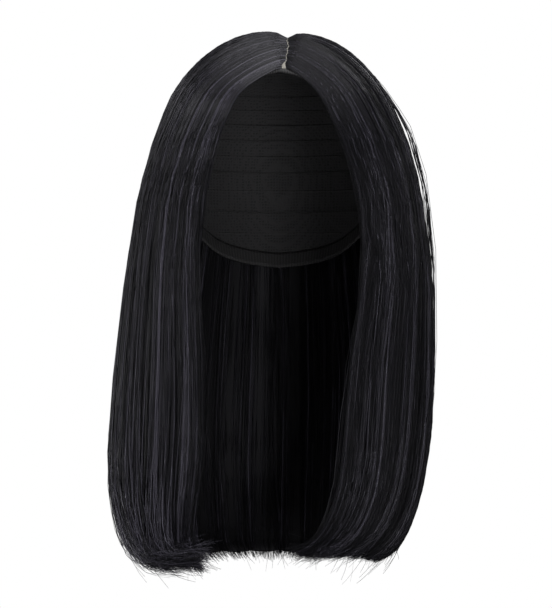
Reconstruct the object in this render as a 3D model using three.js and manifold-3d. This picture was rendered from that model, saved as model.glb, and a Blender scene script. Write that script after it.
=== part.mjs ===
// A long bob wig with a centre parting: a hollow cap with its edge band and parting strip, and five panels
// of straight hair whose ends turn under. Millimetres, +Z up, the face towards -Y, the viewer's left towards
// -X. The origin is the crown of the head, where the inside of the cap sits on it.
import * as THREE from "three";
import { mergeVertices } from "three/addons/utils/BufferGeometryUtils.js";
import Module from "manifold-3d";

const wasm = await Module();
wasm.setup();

// The head that the cap fits: an ellipsoid, taller above its widest level than the nape is deep below it
const HEAD = { halfWidth: 74, halfLength: 95, crownHeight: 88, napeDepth: 118 };
const CAP_WALL = 1.5;
const SEAM_GAP = 0.3;
const BAND_WIDTH = 8;

// Lower edge of the cap: its height at angles round the head, in degrees from the middle of the forehead
const CAP_EDGE = [
  { angle: 0, z: -25.5 },
  { angle: 20, z: -33 },
  { angle: 40, z: -60 },
  { angle: 58, z: -96 },
  { angle: 72, z: -114 },
  { angle: 92, z: -98 },
  { angle: 115, z: -112 },
  { angle: 145, z: -138 },
  { angle: 180, z: -146 },
];
const DOME_COLUMNS = 48;
const DOME_ROWS = 9;

// The parting: a pale strip let into the cap, and the two lines of hair roots beside it. It runs from the
// forehead to the crown a little right of the middle, and the roots stand higher towards the crown.
const STRIP = { middle: 3, halfWidth: 6 };
const PARTING_ENDS = { front: { x: 2, y: -66.5, rise: 1.6 }, crown: { x: 4.5, y: 26, rise: 3 } };
const ROOT_HALF_GAP = 1.3;

// Horizontal sections of the hair's outside, from where it leaves the head down to the turned-under ends.
// left and right are the reach each side, front and back the reach in depth, and the two gaps the distance
// from the middle to the edges that frame the face. rightRise lifts the right ends towards the face.
const SECTIONS = [
  { z: -45, left: 75.5, right: 75.5, front: 85, back: 96, leftGap: 29, rightGap: 28, rightRise: 0 },
  { z: -70, left: 84.5, right: 85.5, front: 95, back: 106, leftGap: 40, rightGap: 39.5, rightRise: 0 },
  { z: -100, left: 92.5, right: 92.5, front: 97, back: 108, leftGap: 48, rightGap: 49, rightRise: 0 },
  { z: -130, left: 97.5, right: 97, front: 91, back: 108, leftGap: 51, rightGap: 53, rightRise: 0 },
  { z: -160, left: 102, right: 99.5, front: 83, back: 106, leftGap: 52, rightGap: 52.5, rightRise: 0 },
  { z: -190, left: 105.5, right: 101, front: 77, back: 103, leftGap: 50, rightGap: 47, rightRise: 0 },
  { z: -220, left: 109, right: 101.5, front: 73, back: 101, leftGap: 49, rightGap: 42.5, rightRise: 0 },
  { z: -250, left: 111.5, right: 100, front: 71, back: 99, leftGap: 49, rightGap: 41, rightRise: 0 },
  { z: -280, left: 112.5, right: 96, front: 69, back: 96, leftGap: 51, rightGap: 38.5, rightRise: 0 },
  { z: -302, left: 110, right: 91, front: 66, back: 92, leftGap: 54, rightGap: 33, rightRise: 1 },
  { z: -321, left: 106, right: 84, front: 61, back: 85, leftGap: 55, rightGap: 25, rightRise: 4 },
  { z: -335, left: 98, right: 75, front: 54, back: 74, leftGap: 51, rightGap: 15, rightRise: 9 },
  { z: -344, left: 80, right: 60, front: 46, back: 59, leftGap: 46, rightGap: 6.5, rightRise: 14 },
];

// How the hair leaves the parting: it drops along the hairline in front, and rises on each side further back
// before it turns down. The pulls are shares of the arch's span.
const LIFT = { left: 0.56, right: 0.44, hairline: -0.55 };
const ARC_START_PULL = 0.37;
const ARC_END_PULL = 0.34;

// Hair panels. Each side of the head runs from 0 at the face to 1 at the middle of the back.
const CROWN_SHARE = 0.55;
const LOCKS_PER_SIDE = 12;
const LOCK_SHARE = 1 / LOCKS_PER_SIDE;
const FRONT_SHARE = 2 * LOCK_SHARE;
const SIDE_SHARE = 6 * LOCK_SHARE;
const COLUMNS_PER_LOCK = 4;
const PANEL_GAP = 0.5;
const HAIR_CLEARANCE = 0.9;
const HAIR_WALL = { dome: 22, hanging: 12, tip: 4 };
const FACE_EDGE = { share: 0.1, thinnest: 0.4 };
const LOCK_RELIEF = { dome: 0.8, hanging: 2, mean: 0.6, rootFade: 0.6 };
const TIP_NOTCH = 0.35;

// Steps along a strand: below 1 it arches over the head, and from 1 on each whole number is a section
const ARC_STEPS = [0, 0.1, 0.24, 0.4, 0.57, 0.74, 0.88];
const TIP_STEP = SECTIONS.length;
const HANG_STEPS = [1, 1.5, 2, 2.5, 3, 4, 5, 6, 7, 9, 10, 11, 12, TIP_STEP];
const FREE_STEP = 4;
const TIP_LENGTH = 3;

// Small strides that measure the hair surface's slopes
const STRIDE = { share: 0.005, step: 0.02, fall: 0.1 };

const BLACK_FIBRE = { color: 0x121114, roughness: 0.42, metalness: 0 };
const BLACK_NET = { color: 0x17161a, roughness: 0.85, metalness: 0 };
const BLACK_TAPE = { color: 0x1c1a1e, roughness: 0.8, metalness: 0 };
const PALE_SKIN_FABRIC = { color: 0xb9ae9a, roughness: 0.7, metalness: 0 };

const { lerp, smoothstep } = THREE.MathUtils;

// Curve through a table's values at any row between its first and its last
function alongTable(rows, column, place) {
  const last = rows.length - 1;
  const row = Math.min(Math.max(Math.floor(place), 0), last - 1);
  const t = place - row;
  const value = (k) => rows[Math.min(Math.max(k, 0), last)][column];
  const [before, start, end, after] = [value(row - 1), value(row), value(row + 1), value(row + 2)];
  const startSlope = (end - before) / 2;
  const endSlope = (after - start) / 2;
  const rise = end - start;
  const bend = 3 * rise - 2 * startSlope - endSlope;
  const twist = startSlope + endSlope - 2 * rise;
  return start + t * (startSlope + t * (bend + t * twist));
}

// Point on the head's ellipsoid, grown by an offset. The turn runs round from the forehead.
function headPoint(turn, latitude, offset) {
  const height = (latitude > 0 ? HEAD.crownHeight : HEAD.napeDepth) + offset;
  return new THREE.Vector3(
    (HEAD.halfWidth + offset) * Math.cos(latitude) * Math.sin(turn),
    -(HEAD.halfLength + offset) * Math.cos(latitude) * Math.cos(turn),
    -HEAD.crownHeight + height * Math.sin(latitude),
  );
}

// Height of the grown head above a point in plan
function headTop(x, y, offset) {
  const across = x / (HEAD.halfWidth + offset);
  const along = y / (HEAD.halfLength + offset);
  return -HEAD.crownHeight + (HEAD.crownHeight + offset) * Math.sqrt(1 - across * across - along * along);
}

// How far a ray runs before it meets the grown head, or Infinity where it misses
function distanceToHead(point, direction, offset) {
  const height = (point.z > -HEAD.crownHeight ? HEAD.crownHeight : HEAD.napeDepth) + offset;
  const size = new THREE.Vector3(HEAD.halfWidth + offset, HEAD.halfLength + offset, height);
  const start = point.clone().add(new THREE.Vector3(0, 0, HEAD.crownHeight)).divide(size);
  const way = direction.clone().divide(size);
  const a = way.lengthSq();
  const b = start.dot(way);
  const c = start.lengthSq() - 1;
  const root = b * b - a * c;
  return root < 0 || b > 0 ? Infinity : (-b - Math.sqrt(root)) / a;
}

// Latitude of the cap's lower edge at a turn round the head
function edgeLatitude(turn) {
  const angle = THREE.MathUtils.radToDeg(Math.acos(Math.cos(turn)));
  const row = Math.max(0, CAP_EDGE.findLastIndex((edge) => edge.angle <= angle));
  const next = CAP_EDGE[Math.min(row + 1, CAP_EDGE.length - 1)];
  const span = next.angle - CAP_EDGE[row].angle || 1;
  const z = alongTable(CAP_EDGE, "z", row + (angle - CAP_EDGE[row].angle) / span);
  const above = z + HEAD.crownHeight;
  return Math.asin(above / (above > 0 ? HEAD.crownHeight : HEAD.napeDepth));
}

// Closes an outside and an inside grid of points, in columns, into one wall. A ring meets itself.
function wallGeometry(outside, inside, ring) {
  const columns = outside.length;
  const rows = outside[0].length;
  const points = [...outside.flat(), ...inside.flat()];
  const out = (column, row) => (column % columns) * rows + row;
  const inn = (column, row) => columns * rows + out(column, row);
  const corners = [];
  const quad = (a, b, c, d) => corners.push(a, b, c, a, c, d);
  for (let i = 0; i < (ring ? columns : columns - 1); i++) {
    for (let j = 0; j < rows - 1; j++) {
      quad(out(i, j), out(i + 1, j), out(i + 1, j + 1), out(i, j + 1));
      quad(inn(i, j + 1), inn(i + 1, j + 1), inn(i + 1, j), inn(i, j));
    }
    quad(out(i + 1, 0), out(i, 0), inn(i, 0), inn(i + 1, 0));
    quad(out(i, rows - 1), out(i + 1, rows - 1), inn(i + 1, rows - 1), inn(i, rows - 1));
  }
  for (let j = 0; j < rows - 1 && !ring; j++) {
    quad(out(0, j + 1), inn(0, j + 1), inn(0, j), out(0, j));
    quad(out(columns - 1, j + 1), out(columns - 1, j), inn(columns - 1, j), inn(columns - 1, j + 1));
  }
  const geometry = new THREE.BufferGeometry().setFromPoints(points).setIndex(corners);
  return facingOut(withoutCollapsed(mergeVertices(geometry)));
}

// Drops triangles whose corners were merged, such as those at the top of a dome
function withoutCollapsed(geometry) {
  const kept = [];
  const corner = geometry.index.array;
  for (let i = 0; i < corner.length; i += 3) {
    const [a, b, c] = corner.subarray(i, i + 3);
    if (a !== b && b !== c && c !== a) kept.push(a, b, c);
  }
  return geometry.setIndex(kept);
}

// Turns every triangle round if the closed surface encloses a negative volume
function facingOut(geometry) {
  const position = geometry.getAttribute("position");
  const corner = Array.from(geometry.index.array);
  const at = (i) => new THREE.Vector3().fromBufferAttribute(position, corner[i]);
  let volume = 0;
  for (let i = 0; i < corner.length; i += 3) volume += at(i).dot(at(i + 1).cross(at(i + 2)));
  return volume < 0 ? geometry.setIndex(corner.reverse()) : geometry;
}

function solidOf(geometry) {
  const merged = geometry.clone();
  merged.deleteAttribute("normal");
  merged.deleteAttribute("uv");
  const closed = mergeVertices(merged);
  return new wasm.Manifold(
    new wasm.Mesh({
      numProp: 3,
      vertProperties: new Float32Array(closed.getAttribute("position").array),
      triVerts: new Uint32Array(closed.index.array),
    }),
  );
}

function geometryOf(solid) {
  const mesh = solid.getMesh();
  return new THREE.BufferGeometry()
    .setAttribute("position", new THREE.BufferAttribute(mesh.vertProperties, 3))
    .setIndex(new THREE.BufferAttribute(mesh.triVerts, 1));
}

function piece(name, geometry, finish) {
  const mesh = new THREE.Mesh(geometry, new THREE.MeshStandardMaterial(finish));
  mesh.name = name;
  return mesh;
}

// Ring of columns round the head between two latitudes, each a function of the turn
function headRing(columns, rows, low, high, offset) {
  return Array.from({ length: columns }, (_, i) => {
    const turn = (2 * Math.PI * i) / columns;
    const latitude = (j) => lerp(high(turn), low(turn), j / rows);
    return Array.from({ length: rows + 1 }, (_, j) => headPoint(turn, latitude(j), offset));
  });
}

function headShell(columns, rows, low, high) {
  const outside = headRing(columns, rows, low, high, CAP_WALL);
  const inside = headRing(columns, rows, low, high, 0);
  return wallGeometry(outside, inside, true);
}

// The dome of the cap and the strip let into it, cut from one shell
function capAndStrip() {
  const bandTop = (turn) => edgeLatitude(turn) + (BAND_WIDTH + SEAM_GAP) / HEAD.crownHeight;
  const shell = solidOf(headShell(DOME_COLUMNS, DOME_ROWS, bandTop, () => Math.PI / 2));
  const slot = (growth) => {
    const rear = PARTING_ENDS.crown.y + growth;
    const length = rear + HEAD.halfLength;
    const box = new THREE.BoxGeometry(2 * (STRIP.halfWidth + growth), length, HEAD.crownHeight);
    return solidOf(box.translate(STRIP.middle, rear - length / 2, 0));
  };
  return { dome: geometryOf(shell.subtract(slot(SEAM_GAP))), strip: geometryOf(shell.intersect(slot(0))) };
}

function edgeBand() {
  const top = (turn) => edgeLatitude(turn) + BAND_WIDTH / HEAD.crownHeight;
  return headShell(DOME_COLUMNS, 1, edgeLatitude, top);
}

// One hair section's point for a share of the way from the face to the middle of the back
function sectionPoint(side, share, place) {
  const at = (column) => alongTable(SECTIONS, column, place);
  const reach = at(side.name);
  const faceTurn = Math.asin(at(side.name + "Gap") / reach);
  const turn = lerp(faceTurn, Math.PI, share);
  const depth = turn < Math.PI / 2 ? at("front") : at("back");
  const rise = side.sign > 0 ? at("rightRise") * (1 - share) ** 2 : 0;
  return new THREE.Vector3(side.sign * reach * Math.sin(turn), -depth * Math.cos(turn), at("z") + rise);
}

// Where the hair of that share grows: beside the parting, and fanned round its end on the crown
function rootPoint(side, share) {
  const fan = (Math.max(0, share - CROWN_SHARE) / (1 - CROWN_SHARE)) * (Math.PI / 2);
  const along = Math.min(share / CROWN_SHARE, 1);
  const at = (axis) => lerp(PARTING_ENDS.front[axis], PARTING_ENDS.crown[axis], along);
  const x = at("x") + side.sign * ROOT_HALF_GAP * Math.cos(fan);
  const y = at("y") + ROOT_HALF_GAP * Math.sin(fan);
  return new THREE.Vector3(x, y, headTop(x, y, CAP_WALL) + at("rise"));
}

// Smooth outside of the hair: an arch from the root to the first section, then down through the sections
function strandPoint(side, share, step) {
  if (step >= 1) return sectionPoint(side, share, step - 1);
  const root = rootPoint(side, share);
  const hang = sectionPoint(side, share, 0);
  const fall = sectionPoint(side, share, STRIDE.fall).sub(hang).normalize();
  const length = root.distanceTo(hang);
  const away = hang.clone().sub(root).setZ(0).normalize();
  away.z = lerp(LIFT.hairline, LIFT[side.name], smoothstep(share, 0, CROWN_SHARE));
  const start = root.clone().addScaledVector(away.normalize(), ARC_START_PULL * length);
  const end = hang.clone().addScaledVector(fall, -ARC_END_PULL * length);
  return new THREE.CubicBezierCurve3(root, start, end, hang).getPoint(step);
}

// Span of the smooth hair surface across its strands, over one stride each way
function acrossStrands(side, share, step) {
  const next = strandPoint(side, Math.min(share + STRIDE.share, 1), step);
  return next.sub(strandPoint(side, Math.max(share - STRIDE.share, 0), step));
}

// Outward normal of the smooth hair surface
function strandNormal(side, share, step) {
  const [up, down] = [Math.max(step - STRIDE.step, 0), Math.min(step + STRIDE.step, TIP_STEP)];
  const along = strandPoint(side, share, down).sub(strandPoint(side, share, up));
  return acrossStrands(side, share, step).cross(along).multiplyScalar(-side.sign).normalize();
}

// Rounded height of a lock across its width: 0 in the groove beside it and 1 on its crest
function lockCrest(share) {
  const across = (share / LOCK_SHARE) % 1;
  return Math.sqrt(Math.sin(Math.PI * across));
}

// How thick the hair is at a step: deep over the head, even where it hangs free, and thin at its ends
function wallThickness(step) {
  if (step < FREE_STEP) return lerp(HAIR_WALL.dome, HAIR_WALL.hanging, smoothstep(step, 0, FREE_STEP));
  return lerp(HAIR_WALL.hanging, HAIR_WALL.tip, smoothstep(step, TIP_STEP - TIP_LENGTH, TIP_STEP));
}

// Outside and inside points of the hair wall
function wallPoints(side, share, step) {
  const normal = strandNormal(side, share, step);
  const smooth = strandPoint(side, share, step);
  const fullRelief = lerp(LOCK_RELIEF.dome, LOCK_RELIEF.hanging, smoothstep(step, 0, FREE_STEP));
  const relief = fullRelief * smoothstep(step, 0, LOCK_RELIEF.rootFade);
  const outside = smooth.clone().addScaledVector(normal, relief * (lockCrest(share) - LOCK_RELIEF.mean));
  const edge = lerp(FACE_EDGE.thinnest, 1, smoothstep(share, 0, FACE_EDGE.share));
  const inward = normal.clone().negate();
  const toCap = distanceToHead(smooth, inward, CAP_WALL + HAIR_CLEARANCE);
  const depth = Math.min(wallThickness(step) * edge, toCap);
  return { outside, inside: smooth.clone().addScaledVector(inward, depth) };
}

// One panel of hair between two shares of one side, or from one side to the other across the back
function hairPanel(from, to) {
  const across = from.side === to.side ? to.share - from.share : 2 - from.share - to.share;
  const columns = Math.round((across / LOCK_SHARE) * COLUMNS_PER_LOCK);
  const steps = [...ARC_STEPS, ...HANG_STEPS];
  const column = (i) => {
    const walk = (across * i) / columns;
    const beyondBack = from.side !== to.side && from.share + walk > 1;
    const side = beyondBack ? to.side : from.side;
    const share = beyondBack ? 2 - from.share - walk : from.share + walk;
    const inset = i === 0 ? 1 : i === columns ? (from.side === to.side ? -1 : 1) : 0;
    return steps.map((step) => {
      const spread = acrossStrands(side, share, step).length();
      const gapShare = share === 0 ? 0 : (inset * PANEL_GAP * STRIDE.share) / spread;
      const cut = Math.min(step, TIP_STEP - TIP_NOTCH * (1 - lockCrest(share)));
      return wallPoints(side, share + gapShare, step === TIP_STEP ? cut : step);
    });
  };
  const grid = Array.from({ length: columns + 1 }, (_, i) => column(i));
  const outside = grid.map((points) => points.map((point) => point.outside));
  const inside = grid.map((points) => points.map((point) => point.inside));
  return wallGeometry(outside, inside, false);
}

const LEFT = { name: "left", sign: -1 };
const RIGHT = { name: "right", sign: 1 };

const wig = new THREE.Group();
const { dome, strip } = capAndStrip();
wig.add(piece("cap_dome", dome, BLACK_NET));
wig.add(piece("parting_strip", strip, PALE_SKIN_FABRIC));
wig.add(piece("edge_band", edgeBand(), BLACK_TAPE));
for (const side of [LEFT, RIGHT]) {
  const face = { side, share: 0 };
  const ear = { side, share: FRONT_SHARE };
  const rear = { side, share: SIDE_SHARE };
  wig.add(piece(side.name + "_front_hair", hairPanel(face, ear), BLACK_FIBRE));
  wig.add(piece(side.name + "_side_hair", hairPanel(ear, rear), BLACK_FIBRE));
}
const back = hairPanel({ side: LEFT, share: SIDE_SHARE }, { side: RIGHT, share: SIDE_SHARE });
wig.add(piece("back_hair", back, BLACK_FIBRE));

export default wig;
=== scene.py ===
"""A straight black long bob wig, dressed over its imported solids.

Each hair panel becomes a dark core under thousands of separate fibres. The cap gets its net and its rows of
sewn wefts, the edge band its woven tape and stitches, and the parting strip its pale fabric. Sizes are in
millimetres unless a name says otherwise, and meshes are made in metres.
"""

import logging
import math
from dataclasses import dataclass, field
from enum import Enum
from typing import Any, ClassVar

import bmesh
import bpy
import numpy as np
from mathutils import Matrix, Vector
from numpy.typing import NDArray


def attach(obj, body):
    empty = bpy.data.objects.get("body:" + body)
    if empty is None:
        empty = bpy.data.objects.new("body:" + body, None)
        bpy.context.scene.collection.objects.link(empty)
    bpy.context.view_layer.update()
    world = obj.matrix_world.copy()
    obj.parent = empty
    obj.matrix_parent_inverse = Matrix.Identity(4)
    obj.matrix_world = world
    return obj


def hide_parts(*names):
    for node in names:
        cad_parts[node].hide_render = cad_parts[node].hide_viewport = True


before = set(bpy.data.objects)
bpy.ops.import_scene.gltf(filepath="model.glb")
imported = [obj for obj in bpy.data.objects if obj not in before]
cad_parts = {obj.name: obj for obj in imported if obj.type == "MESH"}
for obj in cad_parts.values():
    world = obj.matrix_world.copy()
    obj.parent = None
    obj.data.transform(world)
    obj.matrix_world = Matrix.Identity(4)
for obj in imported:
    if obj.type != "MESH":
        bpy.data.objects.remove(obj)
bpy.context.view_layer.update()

Array = NDArray[np.float64]
Flags = NDArray[np.bool_]
Colour = tuple[float, float, float]
Feeds = dict[str | int, Any]
Shades = tuple[tuple[float, Colour], ...]
Span = tuple[float, float]
Triple = tuple[float, float, float]

LOG = logging.getLogger("wig")
MM = 0.001
TINY = 1e-12
BODY = "root"
MAP_NAME = "OFBake"


class Side(Enum):
    """A side of the hair, as seen from the front. The value is its sign along X."""

    LEFT = -1
    RIGHT = 1

    @property
    def word(self) -> str:
        """The side's name as the tables and nodes spell it."""
        return self.name.lower()


class Layer(Enum):
    """Where in the thickness of the hair a fibre lies."""

    TOP = "top"
    UNDER = "under"
    INNER = "inner"


class Slot(Enum):
    """Material slots of the record."""

    FIBRE = "hair_fibre"
    NET = "cap_net"
    TAPE = "edge_tape"
    SKIN = "skin_fabric"


class InputKind(Enum):
    """Kinds of input that a node tree takes, with Blender's names for them."""

    COUNT = "NodeSocketInt"
    NUMBER = "NodeSocketFloat"
    SIZES = "NodeSocketVector"
    THING = "NodeSocketObject"
    FINISH = "NodeSocketMaterial"
    SHAPE = "NodeSocketGeometry"


@dataclass(frozen=True)
class Section:
    """One level of the hair's outside: its reach each way and the gaps beside the face opening."""

    z: float
    left: float
    right: float
    front: float
    back: float
    left_gap: float
    right_gap: float
    right_rise: float = 0.0


SECTIONS: tuple[Section, ...] = (
    Section(-45, 75.5, 75.5, 85, 96, 29, 28),
    Section(-70, 84.5, 85.5, 95, 106, 40, 39.5),
    Section(-100, 92.5, 92.5, 97, 108, 48, 49),
    Section(-130, 97.5, 97, 91, 108, 51, 53),
    Section(-160, 102, 99.5, 83, 106, 52, 52.5),
    Section(-190, 105.5, 101, 77, 103, 50, 47),
    Section(-220, 109, 101.5, 73, 101, 49, 42.5),
    Section(-250, 111.5, 100, 71, 99, 49, 41),
    Section(-280, 112.5, 96, 69, 96, 51, 38.5),
    Section(-302, 110, 91, 66, 92, 54, 33, 1),
    Section(-321, 106, 84, 61, 85, 55, 25, 4),
    Section(-335, 98, 75, 54, 74, 51, 15, 9),
    Section(-344, 80, 60, 46, 59, 46, 6.5, 14),
)
TIP_STEP = float(len(SECTIONS))

# Height of the cap's lower edge at angles round it, in degrees from the middle of the front
CAP_EDGE: tuple[Span, ...] = (
    (0, -25.5), (20, -33), (40, -60), (58, -96), (72, -114), (92, -98), (115, -112), (145, -138), (180, -146),
)


def lerp(start: Any, end: Any, share: Any) -> Any:
    """Value at a share of the way from start to end."""
    return start + (end - start) * share


def smoothstep(value: Any, low: Any, high: Any) -> Any:
    """Rises smoothly from 0 at low to 1 at high."""
    t = np.clip((value - low) / (high - low), 0.0, 1.0)
    return t * t * (3.0 - 2.0 * t)


def unit(vectors: Array) -> Array:
    """The same directions with length one."""
    return vectors / np.maximum(np.linalg.norm(vectors, axis=-1, keepdims=True), TINY)


def along_table(values: Array, place: Array) -> Array:
    """Smooth curve through a column of a table.

    Args:
        values: The column, one value for each row.
        place: Row numbers, whole or between rows.

    Returns:
        The curve's values at those places.
    """
    last = len(values) - 1
    row = np.clip(np.floor(place).astype(int), 0, last - 1)
    t = place - row
    before, start, end, after = (values[np.clip(row + k, 0, last)] for k in (-1, 0, 1, 2))
    start_slope = (end - before) / 2
    end_slope = (after - start) / 2
    rise = end - start
    bend = 3 * rise - 2 * start_slope - end_slope
    twist = start_slope + end_slope - 2 * rise
    return start + t * (start_slope + t * (bend + t * twist))


@dataclass(frozen=True)
class CapForm:
    """The ellipsoid that the inside of the cap follows, deeper below its widest level than high above it.

    Its crown lies at the origin. Grown by an offset, it gives the surfaces of the cap's wall.
    """

    half_width: float = 74.0
    half_length: float = 95.0
    crown_height: float = 88.0
    nape_depth: float = 118.0
    wall: float = 1.5

    @property
    def middle(self) -> Array:
        """Middle of the ellipsoid, on its widest level."""
        return np.array([0.0, 0.0, -self.crown_height])

    def half_sizes(self, above: Flags, offset: float) -> Array:
        """Half sizes of the grown ellipsoid, with the height of its upper or lower half.

        Args:
            above: Whether each point lies above the widest level.
            offset: How far the ellipsoid is grown.

        Returns:
            Half the width, length and height for each point.
        """
        height = np.where(above, self.crown_height, self.nape_depth) + offset
        width = np.full_like(height, self.half_width + offset)
        return np.stack([width, np.full_like(height, self.half_length + offset), height], axis=-1)

    def point(self, turn: Array, latitude: Array, offset: float) -> Array:
        """Points on the grown ellipsoid.

        Args:
            turn: Turns round from the middle of the front.
            latitude: Angles above the widest level.
            offset: How far the ellipsoid is grown.

        Returns:
            The points.
        """
        size = self.half_sizes(latitude > 0, offset)
        level = np.cos(latitude)
        way = np.stack([level * np.sin(turn), -level * np.cos(turn), np.sin(latitude)], axis=-1)
        return way * size + self.middle

    def top(self, x: Array, y: Array, offset: float) -> Array:
        """Height of the grown ellipsoid above points in plan.

        Args:
            x: Places from side to side.
            y: Places from front to back.
            offset: How far the ellipsoid is grown.

        Returns:
            The heights.
        """
        across = x / (self.half_width + offset)
        along = y / (self.half_length + offset)
        inside = np.maximum(1.0 - across**2 - along**2, 0.0)
        return -self.crown_height + (self.crown_height + offset) * np.sqrt(inside)

    def distance(self, points: Array, ways: Array, offset: float) -> Array:
        """How far each ray runs before it meets the grown ellipsoid.

        Args:
            points: Starts of the rays.
            ways: Unit directions of the rays.
            offset: How far the ellipsoid is grown.

        Returns:
            The distances, infinite where a ray misses.
        """
        size = self.half_sizes(points[..., 2] > -self.crown_height, offset)
        start = (points - self.middle) / size
        way = ways / size
        a = (way * way).sum(-1)
        b = (start * way).sum(-1)
        c = (start * start).sum(-1) - 1.0
        root = b * b - a * c
        met = (root >= 0) & (b <= 0)
        return np.where(met, (-b - np.sqrt(np.maximum(root, 0.0))) / a, np.inf)

    def normal(self, points: Array) -> Array:
        """Outward normals of the ellipsoid near points."""
        size = self.half_sizes(points[..., 2] > -self.crown_height, 0.0)
        return unit((points - self.middle) / size**2)

    def pushed_out(self, points: Array, offset: float) -> Array:
        """Moves points that lie inside the grown ellipsoid out to its surface.

        Args:
            points: The points.
            offset: How far the ellipsoid is grown.

        Returns:
            The points, none of them inside.
        """
        size = self.half_sizes(points[..., 2] > -self.crown_height, offset)
        reach = np.linalg.norm((points - self.middle) / size, axis=-1, keepdims=True)
        return self.middle + (points - self.middle) / np.clip(reach, TINY, 1.0)

    def edge_latitude(self, turn: Array) -> Array:
        """Latitudes of the cap's lower edge.

        Args:
            turn: Turns round from the middle of the front.

        Returns:
            The edge's latitudes there.
        """
        angles, heights = (np.array(column, dtype=float) for column in zip(*CAP_EDGE))
        angle = np.degrees(np.arccos(np.cos(turn)))
        row = np.clip(np.searchsorted(angles, angle, side="right") - 1, 0, len(angles) - 2)
        place = row + (angle - angles[row]) / (angles[row + 1] - angles[row])
        above = along_table(heights, place) + self.crown_height
        return np.arcsin(above / np.where(above > 0, self.crown_height, self.nape_depth))


@dataclass(frozen=True)
class Parting:
    """The line between the roots of the two sides, from the front edge to the crown.

    Each end has its x, its y and the rise of the roots. Each wiggle has its reach, its turns and its phase.
    """

    front: Triple = (2.0, -66.5, 1.6)
    crown: Triple = (5.2, 26.0, 3.0)
    bend_end: float = 0.17
    half_gap: float = 0.15
    front_half_gap: float = 1.3
    front_share: float = 0.045
    wiggles: tuple[Triple, ...] = ((0.6, 7.0, 0.6), (0.4, 19.0, 2.1))

    def roots(self, share: Array, crown_share: float) -> tuple[Array, Array, Array]:
        """Middle of the parting where hair of each share grows.

        Args:
            share: Shares of the way from the face opening to the middle of the back.
            crown_share: Share at which the hair fans round the end on the crown.

        Returns:
            The middle's x and y, and the rise of the roots there.
        """
        along = np.clip(share / crown_share, 0.0, 1.0)
        _, y, rise = (lerp(a, b, along) for a, b in zip(self.front, self.crown))
        x = lerp(self.front[0], self.crown[0], smoothstep(along, 0.0, self.bend_end))
        for reach, turns, phase in self.wiggles:
            x = x + reach * np.sin(2 * np.pi * turns * share + phase) * (1.0 - along)
        return x, y, rise

    def half_gaps(self, share: Array) -> Array:
        """Half the width of the bare line, widest in front."""
        return lerp(self.front_half_gap, self.half_gap, smoothstep(share, 0.0, self.front_share))


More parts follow.
